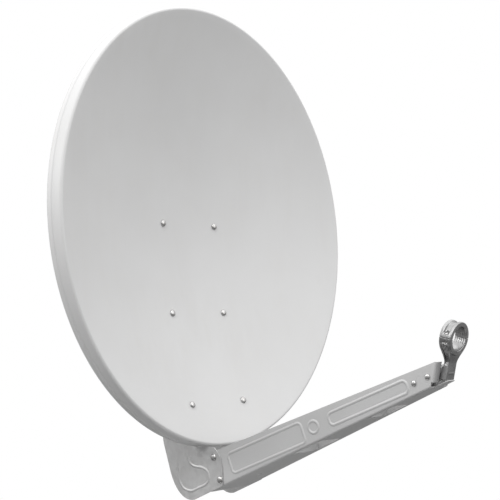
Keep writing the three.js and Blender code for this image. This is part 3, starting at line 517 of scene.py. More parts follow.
def filled(outline, holes=(), creases=()):
    """A flat bmesh in (a, b): an outline less its holes, split along crease lines a = constant."""
    bm = bmesh.new()
    edges = []
    for loop in (outline, *holes):
        verts = [bm.verts.new((a, b, 0)) for a, b in loop]
        edges += [bm.edges.new((verts[i - 1], verts[i])) for i in range(len(verts))]
    bmesh.ops.triangle_fill(bm, use_beauty=True, use_dissolve=False, edges=edges)
    for at in creases:
        everything = bm.verts[:] + bm.edges[:] + bm.faces[:]
        bmesh.ops.bisect_plane(bm, geom=everything, dist=1e-4, plane_co=(at, 0, 0), plane_no=(1, 0, 0))
    return bm


def add_filled(bm, outline, place, holes=(), creases=()):
    """Adds a filled outline to bm, each point of it put where place(a, b) says."""
    flat = filled(outline, holes, creases)
    for vert in flat.verts:
        vert.co = place(vert.co.x, vert.co.y)
    part = mesh_of(flat, "part")
    bm.from_mesh(part)
    bpy.data.meshes.remove(part)


def add_rows(bm, rows, closed=False):
    """Adds quads between rows of points; closed joins the ends of each row."""
    before = None
    for row in rows:
        verts = [bm.verts.new(point) for point in row]
        if before:
            count = len(verts)
            for i in range(count if closed else count - 1):
                j = (i + 1) % count
                bm.faces.new((before[i], before[j], verts[j], verts[i]))
        before = verts


def weld(bm, distance=0.02):
    bmesh.ops.remove_doubles(bm, verts=bm.verts[:], dist=distance)
    bmesh.ops.recalc_face_normals(bm, faces=bm.faces[:])


def face_towards(bm, near, direction):
    """Turns the whole surface so that the face nearest a point looks in a direction."""
    nearest = min(bm.faces, key=lambda face: (face.calc_center_median() - Vector(near)).length)
    if nearest.normal.dot(Vector(direction)) < 0:
        bmesh.ops.reverse_faces(bm, faces=bm.faces[:])


def sheet_piece(name, bm, thickness, matrix, look, node):
    """A folded sheet from its outer surface: thickness goes inwards, cut edges are rounded."""
    obj = place_on(name, mesh_of(bm, name), matrix, look, node)
    shell = obj.modifiers.new("sheet", "SOLIDIFY")
    shell.thickness = thickness * MM
    shell.offset = -1
    shell.use_even_offset = True
    smooth(obj)
    bevel(obj)


def extruded(outline, place, half):
    """A closed prism: outline in (a, b), drawn half the depth to each side."""
    bm = bmesh.new()
    for depth in (-half, half):
        add_filled(bm, outline, lambda a, b, d=depth: place(a, b, d))
    add_rows(bm, [[place(a, b, depth) for a, b in outline] for depth in (-half, half)], closed=True)
    weld(bm, 0.005)
    return bm


def turned(rows, merge=1e-4):
    """A closed solid from profiles that go right round an axis."""
    bm = bmesh.new()
    add_rows(bm, [*rows, rows[0]])
    bmesh.ops.remove_doubles(bm, verts=bm.verts[:], dist=merge)
    bmesh.ops.dissolve_degenerate(bm, edges=bm.edges[:], dist=merge / 10)
    bmesh.ops.recalc_face_normals(bm, faces=bm.faces[:])
    return bm


def capped(rows):
    """A closed solid from rings of points, with its first and its last ring filled."""
    bm = bmesh.new()
    add_rows(bm, rows, closed=True)
    bm.verts.ensure_lookup_table()
    count = len(rows[0])
    bm.faces.new(bm.verts[:count])
    bm.faces.new(bm.verts[-count:])
    bmesh.ops.recalc_face_normals(bm, faces=bm.faces[:])
    return bm


def lathe(profile, segments=40):
    """Turning about +Z of (radius, height) points that start and end on the axis."""
    return turned([[(r * cos(a), r * sin(a), h) for r, h in profile] for a in around(segments)])


def fillet(points, radius):
    """Rounds every corner of an outline, as far as its sides allow."""
    result = []
    for i, point in enumerate(points):
        here = Vector(point)
        back, ahead = Vector(points[i - 1]) - here, Vector(points[(i + 1) % len(points)]) - here
        turn = math.pi - back.angle(ahead)
        reach = min(radius * math.tan(turn / 2), back.length * 0.45, ahead.length * 0.45)
        if turn < math.radians(12):
            result.append(tuple(here))
            continue
        start, end = here + back.normalized() * reach, here + ahead.normalized() * reach
        for t in steps(CORNER_POINTS - 1):
            a, b = start.lerp(here, t), here.lerp(end, t)
            result.append(tuple(a.lerp(b, t)))
    return result


def circle(y, z, radius, count=28):
    return arc(radius, 0, 360 - 360 / count, count - 1, y, z)


def rounded_rectangle(y, z, length, height, radius, turn):
    corners = ((1, 1, 0), (-1, 1, 90), (-1, -1, 180), (1, -1, 270))
    points = []
    for sy, sz, start in corners:
        centre = (sy * (length / 2 - radius), sz * (height / 2 - radius))
        points += arc(radius, start, start + 90, 6, *centre)
    return [(y + a * cos(turn) - b * sin(turn), z + a * sin(turn) + b * cos(turn)) for a, b in points]


def bead_piece(name, outline, width, sign, wall_x, look, node, closed=True):
    """A pressed bead along an outline or a path, on a wall that is wall_x(y) from the middle."""
    bm = bmesh.new()
    points = [Vector(point) for point in outline]
    points = [points[-1], *points, points[0], points[1]] if closed else [points[0], *points, points[-1]]
    rows = []
    for before, here, after in zip(points, points[1:], points[2:]):
        ahead = (after - before).normalized()
        side = Vector((ahead.y, -ahead.x))
        row = []
        for t in steps(12):
            offset = here + side * width * (t - 0.5)
            height = BEAD_HEIGHT * (0.5 - 0.5 * math.cos(2 * math.pi * t)) ** 0.8
            row.append((sign * (wall_x(offset.x) + height - BEAD_SUNK), offset.x, offset.y))
        rows.append(row)
    add_rows(bm, rows)
    weld(bm, 0.001)
    face_towards(bm, (sign * 60, *outline[0]), (sign, 0, 0))
    smooth(place_on(name, mesh_of(bm, name), DISH, look, node))


# ---------------- reflector


def dish_profile(behind):
    """Half section of the reflector at a distance behind its face, as (radius along Z, y)."""
    crest_r = BOWL_Z + CREST_RADIUS * sin(RIM_SLOPE)
    crest_y = CREST_RADIUS * cos(RIM_SLOPE)
    radius = CREST_RADIUS - behind
    points = [(BOWL_Z * t, behind_bowl(0, BOWL_Z * t, behind)) for t in steps(36)[:-1]]
    for t in steps(12):
        angle = -RIM_SLOPE + (90 + RIM_SLOPE) * t
        points.append((crest_r + radius * sin(angle), crest_y - radius * cos(angle)))
    wall = crest_r + radius
    hem_start = RIM_DEPTH - HEM_DEPTH
    for t in steps(8)[1:]:
        rise = 0.5 - 0.5 * cos(180 * t)
        points.append((wall + HEM_PROUD * rise, hem_start - 1.6 * HEM_PROUD * (1 - t)))
    points.append((wall + HEM_PROUD, RIM_DEPTH - 0.8))
    return points


def to_ellipse(radius, angle, y):
    """Puts a point of the half section on the reflector, at an angle round it."""
    outside = max(radius - BOWL_Z, 0)
    scale = min(radius / BOWL_Z, 1)
    normal = Vector((sin(angle) / BOWL_X, cos(angle) / BOWL_Z)).normalized()
    x = BOWL_X * scale * sin(angle) + outside * normal.x
    z = BOWL_Z * scale * cos(angle) + outside * normal.y
    return (x, y, z)


def make_reflector():
    front, back = dish_profile(0), dish_profile(DISH_SHEET)
    edge_r = (front[-1][0] + back[-1][0]) / 2
    lip = [(edge_r + side * 0.4 * DISH_SHEET, RIM_DEPTH - 0.25 * side * side) for side in (1, 0, -1)]
    section = front + lip + back[::-1]
    bm = turned([[to_ellipse(r, a, y) for r, y in section] for a in around(REFLECTOR_SIDES)], merge=1e-3)
    obj = place_on("reflector_shell", mesh_of(bm, "reflector_shell"), DISH, "reflector_coat", "reflector")
    smooth(obj, 60)


# ---------------- fasteners


def domed_bolt(size, length):
    """Carriage bolt along +Z: dome on z = 0, thread down the shank."""
    shank, head, dome, _, _ = FASTENERS[size]
    profile = [(0, -length), (shank - 0.8, -length), (shank - 0.1, -length + 0.8)]
    threads = int(min(length - 4, 4.5 * shank) / THREAD_PITCH)
    at = -length + 0.8
    for _ in range(threads):
        profile += [(shank - 0.45, at + THREAD_PITCH * 0.5), (shank - 0.02, at + THREAD_PITCH)]
        at += THREAD_PITCH
    profile += [(shank - 0.1, at + 0.3), (shank - 0.1, 0), (head - 0.5, 0), (head - 0.08, 0.18), (head, 0.55)]
    for t in steps(10)[1:]:
        profile.append((head * cos(90 * t), 0.55 + (dome - 0.55) * sin(90 * t)))
    return lathe(profile)


def hexagon_nut(size):
    """Nut along +Z on z = 0: chamfered corners, washer face and a countersunk bore."""
    shank, _, _, across, height = FASTENERS[size]
    flat = across / 2
    bore = shank + HOLE_PLAY
    rows = []
    for angle in around(48):
        corner = flat / cos((angle + 30) % 60 - 30)
        cut = max(corner - flat * 1.03, 0) * 0.58
        rings = [(bore, 0.5), (bore + 0.4, 0), (flat * 0.95, 0), (min(corner, flat * 1.03), 0.25)]
        rings += [(corner, 0.25 + cut), (corner, height - cut), (min(corner, flat * 1.03), height)]
        rings += [(bore + 0.4, height), (bore, height - 0.5), (bore, 0.5)]
        rows.append([(r * cos(angle), r * sin(angle), h) for r, h in rings])
    return turned(rows)


def along(origin, direction):
    """Matrix that puts +Z of a fastener on a direction, at a point."""
    return Matrix.Translation(origin) @ Vector(direction).to_track_quat("Z", "Y").to_matrix().to_4x4()


def put(node, bm, matrix, origin, direction, crease):
    """A fastener with its +Z on a direction; edges with a bigger turn than crease stay sharp."""
    name = node + "_made"
    obj = place_on(name, mesh_of(bm, name), matrix @ along(origin, direction), "zinc_fasteners", node)
    smooth(obj, crease)


def put_bolt(node, size, length, *place):
    put(node, domed_bolt(size, length), *place, 38)


def put_nut(node, size, *place):
    put(node, hexagon_nut(size), *place, 25)


def bolt_and_nut(stem, size, place, head_x, nut_x):
    """A bolt through walls that look along X, and its nut."""
    outward = math.copysign(1, head_x - nut_x)
    length = abs(head_x - nut_x) + 2 * GAP + FASTENERS[size][4] + PAST_NUT
    put_bolt(stem + "_bolt", size, length, DISH, (head_x + GAP * outward, *place), (outward, 0, 0))
    put_nut(stem + "_nut", size, DISH, (nut_x - GAP * outward, *place), (-outward, 0, 0))


def make_fasteners():
    for side, sign in SIDES:
        for row, name in enumerate(("top", "middle", "bottom")):
            x, z = sign * DISH_BOLT_X, DISH_BOLT_TOP - row * DISH_BOLT_PITCH
            normal = bowl_normal(x, z)
            face = Vector((x, bowl_depth(x, z), z))
            length = FLANGE_BACK + 4 * GAP + FASTENERS["M6"][4] + PAST_NUT
            put_bolt(f"dish_bolt_{name}_{side}", "M6", length, DISH, face - normal * 2 * GAP, -normal)
            put_nut(f"dish_nut_{name}_{side}", "M6", DISH, face + normal * (FLANGE_BACK + 2 * GAP), normal)
        head, inner = sign * PLATE_OUTER_X, sign * (ARM_HALF_WIDTH - ARM_SHEET)
        bolt_and_nut(f"arm_hook_{side}", "M6", HOOK_BOLT, head, inner)
        bolt_and_nut(f"arm_fold_{side}", "M6", FOLD_BOLT, head, inner)
        bolt_and_nut(f"pivot_{side}", "M8", tuple(PIVOT_IN_DISH.yz), head, sign * CHEEK_INNER_X)
        bolt_and_nut(f"tilt_lock_{side}", "M8", LOCK_BOLT, head, sign * CHEEK_INNER_X)
        screw_place = (sign * SCREW_X, 0, EAR_HEIGHT + GAP)
        put_bolt(f"cap_screw_{side}", "M4", EAR_HEIGHT * 2 + 6, CLAMP, screw_place, (0, 0, 1))
        for level, z in JAW_LEVELS:
            x = sign * CLAMP_BOLT_X
            head_y, seat_y = SADDLE_FRONT_Y - GAP, JAW_REAR + GAP
            length = seat_y - head_y + FASTENERS["M8"][4] + PAST_CLAMP_NUT
            put_bolt(f"clamp_bolt_{level}_{side}", "M8", length, ANTENNA, (x, head_y, z), (0, -1, 0))
            put_nut(f"clamp_nut_{level}_{side}", "M8", ANTENNA, (x, seat_y, z), (0, 1, 0))
    for name, place in zip(("front", "rear"), base_bolts):
        wall = arm_half_width(place[0] + FASTENERS["M5"][1])
        bolt_and_nut(f"feed_{name}", "M5", place, -wall, wall)


# ---------------- rear bracket


def from_rim(places):
    """Places in the side view, from (y, distance below the rim)."""
    return [(y, RIM_BOTTOM - below) for y, below in places]


def plate_outline(front_edge):
    """Side plate seen from the side. front_edge is its curved edge, top to bottom."""
    y_rim = RIM_DEPTH + PLATE_UNDER_RIM
    rim_here = RIM_BOTTOM * math.sqrt(1 - (PLATE_INNER_X / (DISH_WIDTH / 2)) ** 2)
    lower = [
        (y_rim, rim_here + 24),
        (y_rim, rim_here - PLATE_UNDER_RIM),
        (ARM_TOP_START[0], rim_here - PLATE_UNDER_RIM),
        *from_rim(PLATE_NOSE),
        (-30, arm_floor(-30) + 3),
        (-27, arm_floor(-27)),
        (46, arm_floor(46)),
    ]
    start = Vector(lower[-1])
    first, second, corner = (Vector(place) for place in from_rim(PLATE_HEEL))
    heel = []
    for t in steps(14)[1:]:
        s = 1 - t
        heel.append(tuple(start * s**3 + first * 3 * s * s * t + second * 3 * s * t * t + corner * t**3))
    back = [*from_rim([PLATE_BACK_FOOT]), PLATE_BACK_TOP, (PLATE_BACK_TOP[0], PIVOT_IN_DISH.z + 20)]
    back.append((behind_bowl(PLATE_INNER_X, FLANGE_TOP, FLANGE_BACK) + 20, FLANGE_TOP))
    free = fillet([front_edge[-1], *lower, *heel, *back, front_edge[0]], 5)
    return [*front_edge, *free[CORNER_POINTS:-CORNER_POINTS]]


def smooth_path(points):
    """A smooth curve through all of some points."""
    ends = [points[0], *points, points[-1]]
    path = []
    for i in range(len(points) - 1):
        before, start, end, after = (Vector(p) for p in ends[i : i + 4])
        for t in steps(8)[:-1]:
            bend = (end - before) * t + (2 * before - 5 * start + 4 * end - after) * t**2
            bend += (3 * start - before - 3 * end + after) * t**3
            path.append(tuple(start + bend / 2))
    return [*path, points[-1]]


def make_side_plate(side, sign):
    bm = bmesh.new()
    levels = [FLANGE_TOP + (FLANGE_BOTTOM - FLANGE_TOP) * t for t in steps(30)]
    turn_x = PLATE_OUTER_X + FLANGE_BEND
    edge = [(behind_bowl(turn_x, z, FLANGE_BACK) + FLANGE_BEND, z) for z in levels]
    holes = [circle(*place, hole("M6")) for place in (HOOK_BOLT, FOLD_BOLT)]
    holes += [circle(*place, hole("M8")) for place in (tuple(PIVOT_IN_DISH.yz), LOCK_BOLT)]
    add_filled(bm, plate_outline(edge), lambda y, z: (sign * PLATE_OUTER_X, y, z), holes)
    rows = []
    for z in levels:
        back = behind_bowl(turn_x, z, FLANGE_BACK)
        row = []
        for t in steps(5):
            x = turn_x - FLANGE_BEND * cos(90 * t)
            row.append((sign * x, back + FLANGE_BEND - FLANGE_BEND * sin(90 * t), z))
        for t in steps(6)[1:]:
            x = turn_x + (FLANGE_OUTER_X - turn_x) * t
            row.append((sign * x, behind_bowl(x, z, FLANGE_BACK), z))
        rows.append(row)
    add_rows(bm, rows)
    weld(bm)
    face_towards(bm, (sign * PLATE_OUTER_X, 90, -300), (sign, 0, 0))
    node = f"side_plate_{side}"
    sheet_piece(node + "_sheet", bm, PLATE_SHEET, DISH, "galvanised_steel", node)
    path = smooth_path(from_rim(PLATE_BEAD))
    place = (sign, lambda y: PLATE_OUTER_X, "galvanised_steel", node)
    bead_piece(node + "_bead", path, PLATE_BEAD_WIDTH, *place, closed=False)


def make_tie(place, top):
    front = behind_bowl(0, top, DISH_SHEET) + TIE_CLEARANCE
    reach = PLATE_INNER_X - GAP
    half = [(reach, front + TIE_LEG), (reach, front + TIE_BEND)]
    turn = [(TIE_BEND * cos(a), TIE_BEND * sin(a)) for a in (18, 36, 54, 72, 90)]
    half += [(reach - TIE_BEND + x, front + TIE_BEND - y) for x, y in turn]
    bm = bmesh.new()
    add_rows(bm, [[(x, y, z) for x, y in mirrored(half)] for z in (top - TIE_HEIGHT, top)])
    weld(bm)
    face_towards(bm, (0, front, top - TIE_HEIGHT / 2), (0, -1, 0))
    node = f"plate_tie_{place}"
    sheet_piece(node + "_strap", bm, TIE_SHEET, DISH, "galvanised_steel", node)


# ---------------- feed arm


def hook_slot():
    """Points of the open slot in the arm wall's rear edge, bottom to top."""
    dy, dz = HOOK_BOLT[0] - FOLD_BOLT[0], HOOK_BOLT[1] - FOLD_BOLT[1]
    radius, start = math.hypot(dy, dz), math.degrees(math.atan2(dz, dy))
    half = hole("M6")
    reach = ARM_REAR_Y - FOLD_BOLT[0]
    inner_from = math.degrees(math.acos(reach / (radius - half)))
    outer_from = math.degrees(math.acos(reach / (radius + half)))
    inner = arc(radius - half, inner_from, start, 6, *FOLD_BOLT)
    tip = arc(half, start + 180, start, 8, *HOOK_BOLT)[1:-1]
    outer = arc(radius + half, start, outer_from, 6, *FOLD_BOLT)
    return [*inner, *tip, *outer]


def wall_outline():
    """Arm wall seen from the side, from the fold above the floor to its top edge."""
    rear_top = arm_top(ARM_TOP_START[0]) - ARM_REAR_DROP
    top_corner = front_top(BEND)
    foot = front_above_floor(BEND, BEND)
    relief = front_above_floor(BEND, BEND + ARM_RELIEF)
    points = [(ARM_REAR_Y, arm_floor(ARM_REAR_Y) + BEND), *hook_slot(), (ARM_REAR_Y, rear_top)]
    points += [(ARM_TOP_START[0], arm_top(ARM_TOP_START[0])), top_corner, relief, foot]
    return points


def add_arm_side(bm, sign):
    holes = [circle(*FOLD_BOLT, hole("M6")), *[circle(*place, hole("M5")) for place in base_bolts]]
    add_filled(
        bm, wall_outline(), lambda y, z: (sign * arm_half_width(y), y, z), holes, creases=(ARM_TAPER_Y,)
    )
    foot = front_above_floor(BEND, BEND)
    rows = []
    for y in (ARM_REAR_Y, ARM_TAPER_Y, foot[0]):
        x, z = arm_half_width(y) - BEND, arm_floor(y) + BEND
        rows.append([(sign * (x + BEND * cos(a)), y, z + BEND * sin(a)) for a in range(-90, 1, 15)])
    add_rows(bm, rows)
    lip = []
    for y, z in (front_above_floor(BEND, BEND + ARM_RELIEF), front_top(BEND)):
        x = arm_half_width(y) - BEND
        row = []
        for a in range(0, 91, 15):
            row.append((sign * (x + BEND * cos(a)), y - NECK[0] * BEND * sin(a), z - NECK[1] * BEND * sin(a)))
        row.append((sign * (ARM_FRONT_HALF_WIDTH - ARM_LIP), y - NECK[0] * BEND, z - NECK[1] * BEND))
        lip.append(row)
    add_rows(bm, lip)


def floor_outline():
    foot_y = front_above_floor(BEND, BEND)[0]
    half, tip_y = ARM_TONGUE_HALF, front_above_floor(-ARM_TONGUE, 0)[0]
    side = [(arm_half_width(y) - BEND, y) for y in (ARM_REAR_Y, ARM_TAPER_Y, foot_y)]
    return mirrored([*side, (half, foot_y), (half, tip_y + 3), (half - 3, tip_y)])


def window_half(tab_y, window):
    return arm_half_width(tab_y - window) - ARM_WINDOW_EDGE


def add_arm_floor(bm):
    holes = []
    for tab_y, window in ARM_TABS:
        half = window_half(tab_y, window)
        rear = tab_y - ARM_SHEET + BEND
        front = tab_y - ARM_SHEET - window
        front_corners = arc(8, 0, -90, 5, half - 8, front + 8)
        holes.append(mirrored([(half, rear), *front_corners]))
    drain_y, drain_radius = ARM_DRAIN
    holes.append(circle(0, drain_y, drain_radius, 24))
    add_filled(bm, floor_outline(), lambda x, y: (x, y, arm_floor(y)), holes)
    for tab_y, window in ARM_TABS:
        add_tab(bm, tab_y, window)


def add_tab(bm, tab_y, window):
    """Cross plate bent up at the rear edge of a window, wider than the fold that carries it."""
    half = window_half(tab_y, window)
    wide = arm_half_width(tab_y) - 2 * ARM_SHEET
    face = tab_y - ARM_SHEET
    centre_y = face + BEND
    rows = []
    for x in (half, -half):
        turn = [(BEND * sin(a), BEND * (1 - cos(a))) for a in range(0, 91, 15)]
        rows.append([(x, centre_y - dy, arm_floor(centre_y) + dz) for dy, dz in turn])
    add_rows(bm, rows)
    base = arm_floor(centre_y) + BEND
    top = arm_top(tab_y) - ARM_WINDOW_EDGE
    corner = arc(5, 0, 90, 4, wide - 5, top - 5)
    outline = mirrored([(half, base), (wide - 1.5, base), (wide, base + 1.5), *corner])
    add_filled(bm, outline, lambda x, z: (x, face, z))


def make_arm():
    bm = bmesh.new()
    for sign in (-1, 1):
        add_arm_side(bm, sign)
    add_arm_floor(bm)
    weld(bm, 0.01)
    face_towards(bm, (0, -120, arm_floor(-120)), (0, 0, -1))
    sheet_piece("arm_folded_sheet", bm, ARM_SHEET, DISH, "arm_coat", "arm_channel")
    for side, sign in SIDES:
        for name, outline in arm_beads().items():
            piece = f"arm_bead_{name}_{side}"
            place = (sign, arm_half_width, "arm_coat", "arm_channel")
            bead_piece(piece, finer(outline, 6), ARM_BEAD_WIDTH, *place)


def long_bead(rear, front, height, radius, drop):
    """A bead along the middle of the arm's wall, drawn inside the CAD piece's own bead."""
    rise = (ARM_TOP_RISE + ARM_FLOOR_RISE) / 2
    y = (rear + front) / 2
    z = (arm_top(y) + arm_floor(y)) / 2 - drop
    length = (rear - front) / cos(rise) - 2 * BEAD_INSET
    return rounded_rectangle(y, z, length, height - 2 * BEAD_INSET, radius - BEAD_INSET, 180 - rise)


def arm_beads():
    rear, front = BEAD_ZONE
    y = rear + (front - rear) * ROUND_BEAD_ALONG
    middle = (arm_top(y) + arm_floor(y)) / 2
    return {
        "lower": long_bead(rear, y + ROUND_BEAD_RADIUS + ROUND_BEAD_GAPS[0], *REAR_BEAD),
        "front": long_bead(y - ROUND_BEAD_RADIUS - ROUND_BEAD_GAPS[1], front, *FRONT_BEAD),
        "round": circle(y, middle, ROUND_BEAD_RADIUS - BEAD_INSET, 40),
    }


def finer(outline, longest):
    """Adds points so that no side of a closed outline is longer than a given length."""
    result = []
    for i, point in enumerate(outline):
        here, ahead = Vector(point), Vector(outline[(i + 1) % len(outline)])
        count = max(1, math.ceil((ahead - here).length / longest))
        result += [tuple(here.lerp(ahead, k / count)) for k in range(count)]
    return result


# ---------------- feed clamp


def ring_section(groove):
    """Section of the split ring, as (radius, y): ribbed bore, two flanges, groove between them."""
    half = RING_LENGTH / 2
    points = [(RING_INNER + 0.8, -half), (RING_OUTER - 0.7, -half), (RING_OUTER, -half + 0.7)]
    lip = GROOVE_WIDTH / 2
    points += [(RING_OUTER, -lip - 0.8), (RING_OUTER - 0.5, -lip)]
    for t in steps(4):
        points.append((RING_OUTER - groove * (0.5 + 0.5 * sin(-90 + 180 * t)), -lip + 2.2 * t))
    points += [(r, -y) for r, y in reversed(points)]
    for t in steps(4 * BORE_RIBS):
        rib = BORE_RIB_HEIGHT * (0.5 - 0.5 * cos(360 * BORE_RIBS * t))
        points.append((RING_INNER + rib, (half - 1.2) * (1 - 2 * t)))
    return points


def half_ring(start, groove_at):
    """One half of the ring, swept from one side of the split to the other."""
    offset = math.degrees(math.asin(RING_SPLIT / 2 / RING_INNER))
    angles = [start + offset + (180 - 2 * offset) * t for t in steps(64)]
    rows = []
    for angle in angles:
        section = ring_section(GROOVE_DEPTH * groove_at(angle))
        rows.append([(r * cos(angle), y, r * sin(angle)) for r, y in section])
    return capped(rows)


def fade(value, low, high):
    t = min(max((value - low) / (high - low), 0), 1)
    return t * t * (3 - 2 * t)


def cap_groove(angle):
    from_ear = min(angle, 180 - angle)
    return fade(from_ear, 12, 20)


def base_groove(angle):
    from_ear = min(angle - 180, 360 - angle)
    return BASE_GROOVE_SHARE * fade(from_ear, 10, 14) * (1 - fade(from_ear, 17, 22))


def rod_bm(radius, start, end, segments=32):
    """A closed round rod between two points."""
    start, end = Vector(start), Vector(end)
    length = (end - start).length
    bm = lathe([(0, 0), (radius, 0), (radius, length), (0, length)], segments)
    bm.transform(along(start, end - start))
    return bm


def to_stem(x, y, z):
    share = min(max((-z - STEM_SHOULDER) / (STEM_WAIST - STEM_SHOULDER), 0), 1)
    scale = 1 + (STEM_DEPTH / RING_LENGTH - 1) * share
    return (x, y * scale + share * (STEM_BACK - STEM_DEPTH / 2), z)


def stem_bm():
    """Stem under the ring: flared to the ring at the top, fluted on both sides."""
    shoulder = math.sqrt(RING_OUTER**2 - STEM_SHOULDER**2)
    half = RING_LENGTH / 2
    flute = GROOVE_WIDTH / 2
    levels = [-STEM_SHOULDER - (STEM_FOOT - STEM_SHOULDER) * t for t in steps(40)]
    rows = []
    for z in levels:
        share = fade(-z, STEM_SHOULDER, STEM_WAIST)
        reach = max(shoulder + (STEM_HALF_WIDTH - shoulder) * share, STEM_HALF_WIDTH)
        begun = fade(-z, STEM_SHOULDER + 1.5, STEM_SHOULDER + 5)
        web_share = begun * (1 - fade(-z, STEM_WAIST + 1, STEM_WAIST + 5))
        web = reach - web_share * min(3.5, reach - 4)
        section = [(web, -flute + 1.2), (reach, -flute - 0.4), (reach, -half + 0.8), (reach - 0.8, -half)]
        front = mirrored(section)
        back = [(x, -y) for x, y in reversed(front)]
        rows.append([to_stem(x, y, z) for x, y in front + back])
    return capped(rows)


def bar_bm():
    half = BASE_HALF_HEIGHT
    rear = base_bolts[1][0] + half + 2
    front = ARM_FRONT_Y - (RING_AHEAD - STEM_BACK) - STEM_DEPTH / 2

    def axis_z(y):
        return base_bolts[0][1] - (y - base_bolts[0][0]) * tan(ARM_FLOOR_RISE)

    corners = [(rear, -half), (rear, half), (front, half), (front, -half)]
    outline = [to_clamp(y, axis_z(y) + dz) for y, dz in corners]
    return extruded(fillet(outline, 2.5), lambda y, z, x: (x, y, z), BASE_HALF_WIDTH)


def cast_piece(node, matrix, adds, cuts, voxel=0.42, rounds=3):
    """One cast solid: adds joined, cuts taken away, edges rounded by a fine remesh."""
    name = node + "_cast"
    body = added(name, mesh_of(adds[0], name))
    tools = []
    for operation, parts in (("UNION", adds[1:]), ("DIFFERENCE", cuts)):
        for index, part in enumerate(parts):
            tool = added(f"{operation.lower()}_{index}", mesh_of(part, "tool"))
            modifier = body.modifiers.new(tool.name, "BOOLEAN")
            modifier.operation, modifier.object, modifier.solver = operation, tool, "EXACT"
            tools.append(tool)
    remesh = body.modifiers.new("cast", "REMESH")
    remesh.mode, remesh.voxel_size = "VOXEL", voxel
    soften = body.modifiers.new("tumbled", "SMOOTH")
    soften.factor, soften.iterations = 0.5, rounds
    depsgraph = bpy.context.evaluated_depsgraph_get()
    mesh = bpy.data.meshes.new_from_object(body.evaluated_get(depsgraph))
    for obj in [body, *tools]:
        bpy.data.objects.remove(obj)
    smooth(place_on(name, mesh, matrix, "clamp_casting", node))


def make_feed_clamp():
    reach = [arm_half_width(y - BASE_HALF_HEIGHT) - ARM_SHEET - 2 * GAP for y, _ in base_bolts]
    places = [to_clamp(*place) for place in base_bolts]
    bosses = [rod_bm(BASE_HALF_HEIGHT - 2, (-r, *p), (r, *p)) for r, p in zip(reach, places)]
    bolt_holes = [rod_bm(hole("M5"), (-60, *p), (60, *p)) for p in places]
    screw = FASTENERS["M4"][0] + HOLE_PLAY / 2
    screws = [rod_bm(screw, (s * SCREW_X, 0, -18), (s * SCREW_X, 0, 6)) for s in (-1, 1)]
    bore = rod_bm(RING_INNER + 0.3, (0, -RING_LENGTH, 0), (0, RING_LENGTH, 0), 96)
    adds = [half_ring(180, base_groove), stem_bm(), bar_bm(), *bosses]
    cast_piece("feed_clamp_base", CLAMP, adds, [bore, *bolt_holes, *screws])
    seat = FASTENERS["M4"][1] + HOLE_PLAY
    seats = [rod_bm(seat, (s * SCREW_X, 0, EAR_HEIGHT), (s * SCREW_X, 0, RING_OUTER)) for s in (-1, 1)]
    shanks = [rod_bm(screw, (s * SCREW_X, 0, -6), (s * SCREW_X, 0, RING_OUTER)) for s in (-1, 1)]
    cast_piece("feed_clamp_cap", CLAMP, [half_ring(0, cap_groove)], [*seats, *shanks])


# ---------------- mast clamp


def cheek_outline():
    slot_top = PIVOT_YZ[1] - LOCK_RADIUS * cos(TILT_UP) + 24
    slot_front = PIVOT_YZ[0] - LOCK_RADIUS * sin(TILT_UP) - 12
    rear = SADDLE_FRONT_Y + 4
    points = [
        (rear, -SADDLE_HALF_HEIGHT),
        (rear, SADDLE_HALF_HEIGHT),
        *arc(21, 80, 180, 10, *PIVOT_YZ),
        (slot_front, slot_top),
        (slot_front, slot_top - 34),
        (PIVOT_YZ[0] + 4, PIVOT_YZ[1] - LOCK_RADIUS - 26),
    ]
    return [points[0], points[1], *fillet(points, 5)[2 * CORNER_POINTS :]]


def make_saddle():
    """Bent saddle: a plate across the front of the mast, with a cheek folded forward on each side."""
    half_slot = hole("M8")
    start, end = -90 - TILT_UP - 2, -90 + TILT_DOWN + 2
    slot = []
    for radius, first, last, turn in ((half_slot, start, end, 0), (-half_slot, end, start, 180)):
        slot += arc(LOCK_RADIUS + radius, first, last, 16, *PIVOT_YZ)
        centre = arc(LOCK_RADIUS, last, last, 1, *PIVOT_YZ)[0]
        slot += arc(half_slot, last + turn, last + turn + 180, 8, *centre)[1:-1]
    bm = bmesh.new()
    rear = SADDLE_REAR_Y - SADDLE_BEND
    for sign in (-1, 1):
        outline = [(min(y, rear), z) for y, z in cheek_outline()]
        holes = [circle(*PIVOT_YZ, half_slot), slot]
        add_filled(bm, outline, lambda y, z, s=sign: (s * CHEEK_OUTER_X, y, z), holes)
        rows = []
        fold = arc(SADDLE_BEND, 0, 90, 6, CHEEK_OUTER_X - SADDLE_BEND, rear)
        for z in (-SADDLE_HALF_HEIGHT, SADDLE_HALF_HEIGHT):
            rows.append([(sign * x, y, z) for x, y in fold])
        add_rows(bm, rows)
    width, height = CHEEK_OUTER_X - SADDLE_BEND, SADDLE_HALF_HEIGHT
    plate = [(-width, -height), (width, -height), (width, height), (-width, height)]
    holes = [circle(sx * CLAMP_BOLT_X, sz * JAW_Z, half_slot) for sx in (-1, 1) for sz in (-1, 1)]
    add_filled(bm, plate, lambda x, z: (x, SADDLE_REAR_Y, z), holes)
    weld(bm)
    face_towards(bm, (0, SADDLE_REAR_Y, 0), (0, 1, 0))
    sheet_piece("mast_saddle_sheet", bm, SADDLE_SHEET, ANTENNA, "galvanised_steel", "mast_saddle")


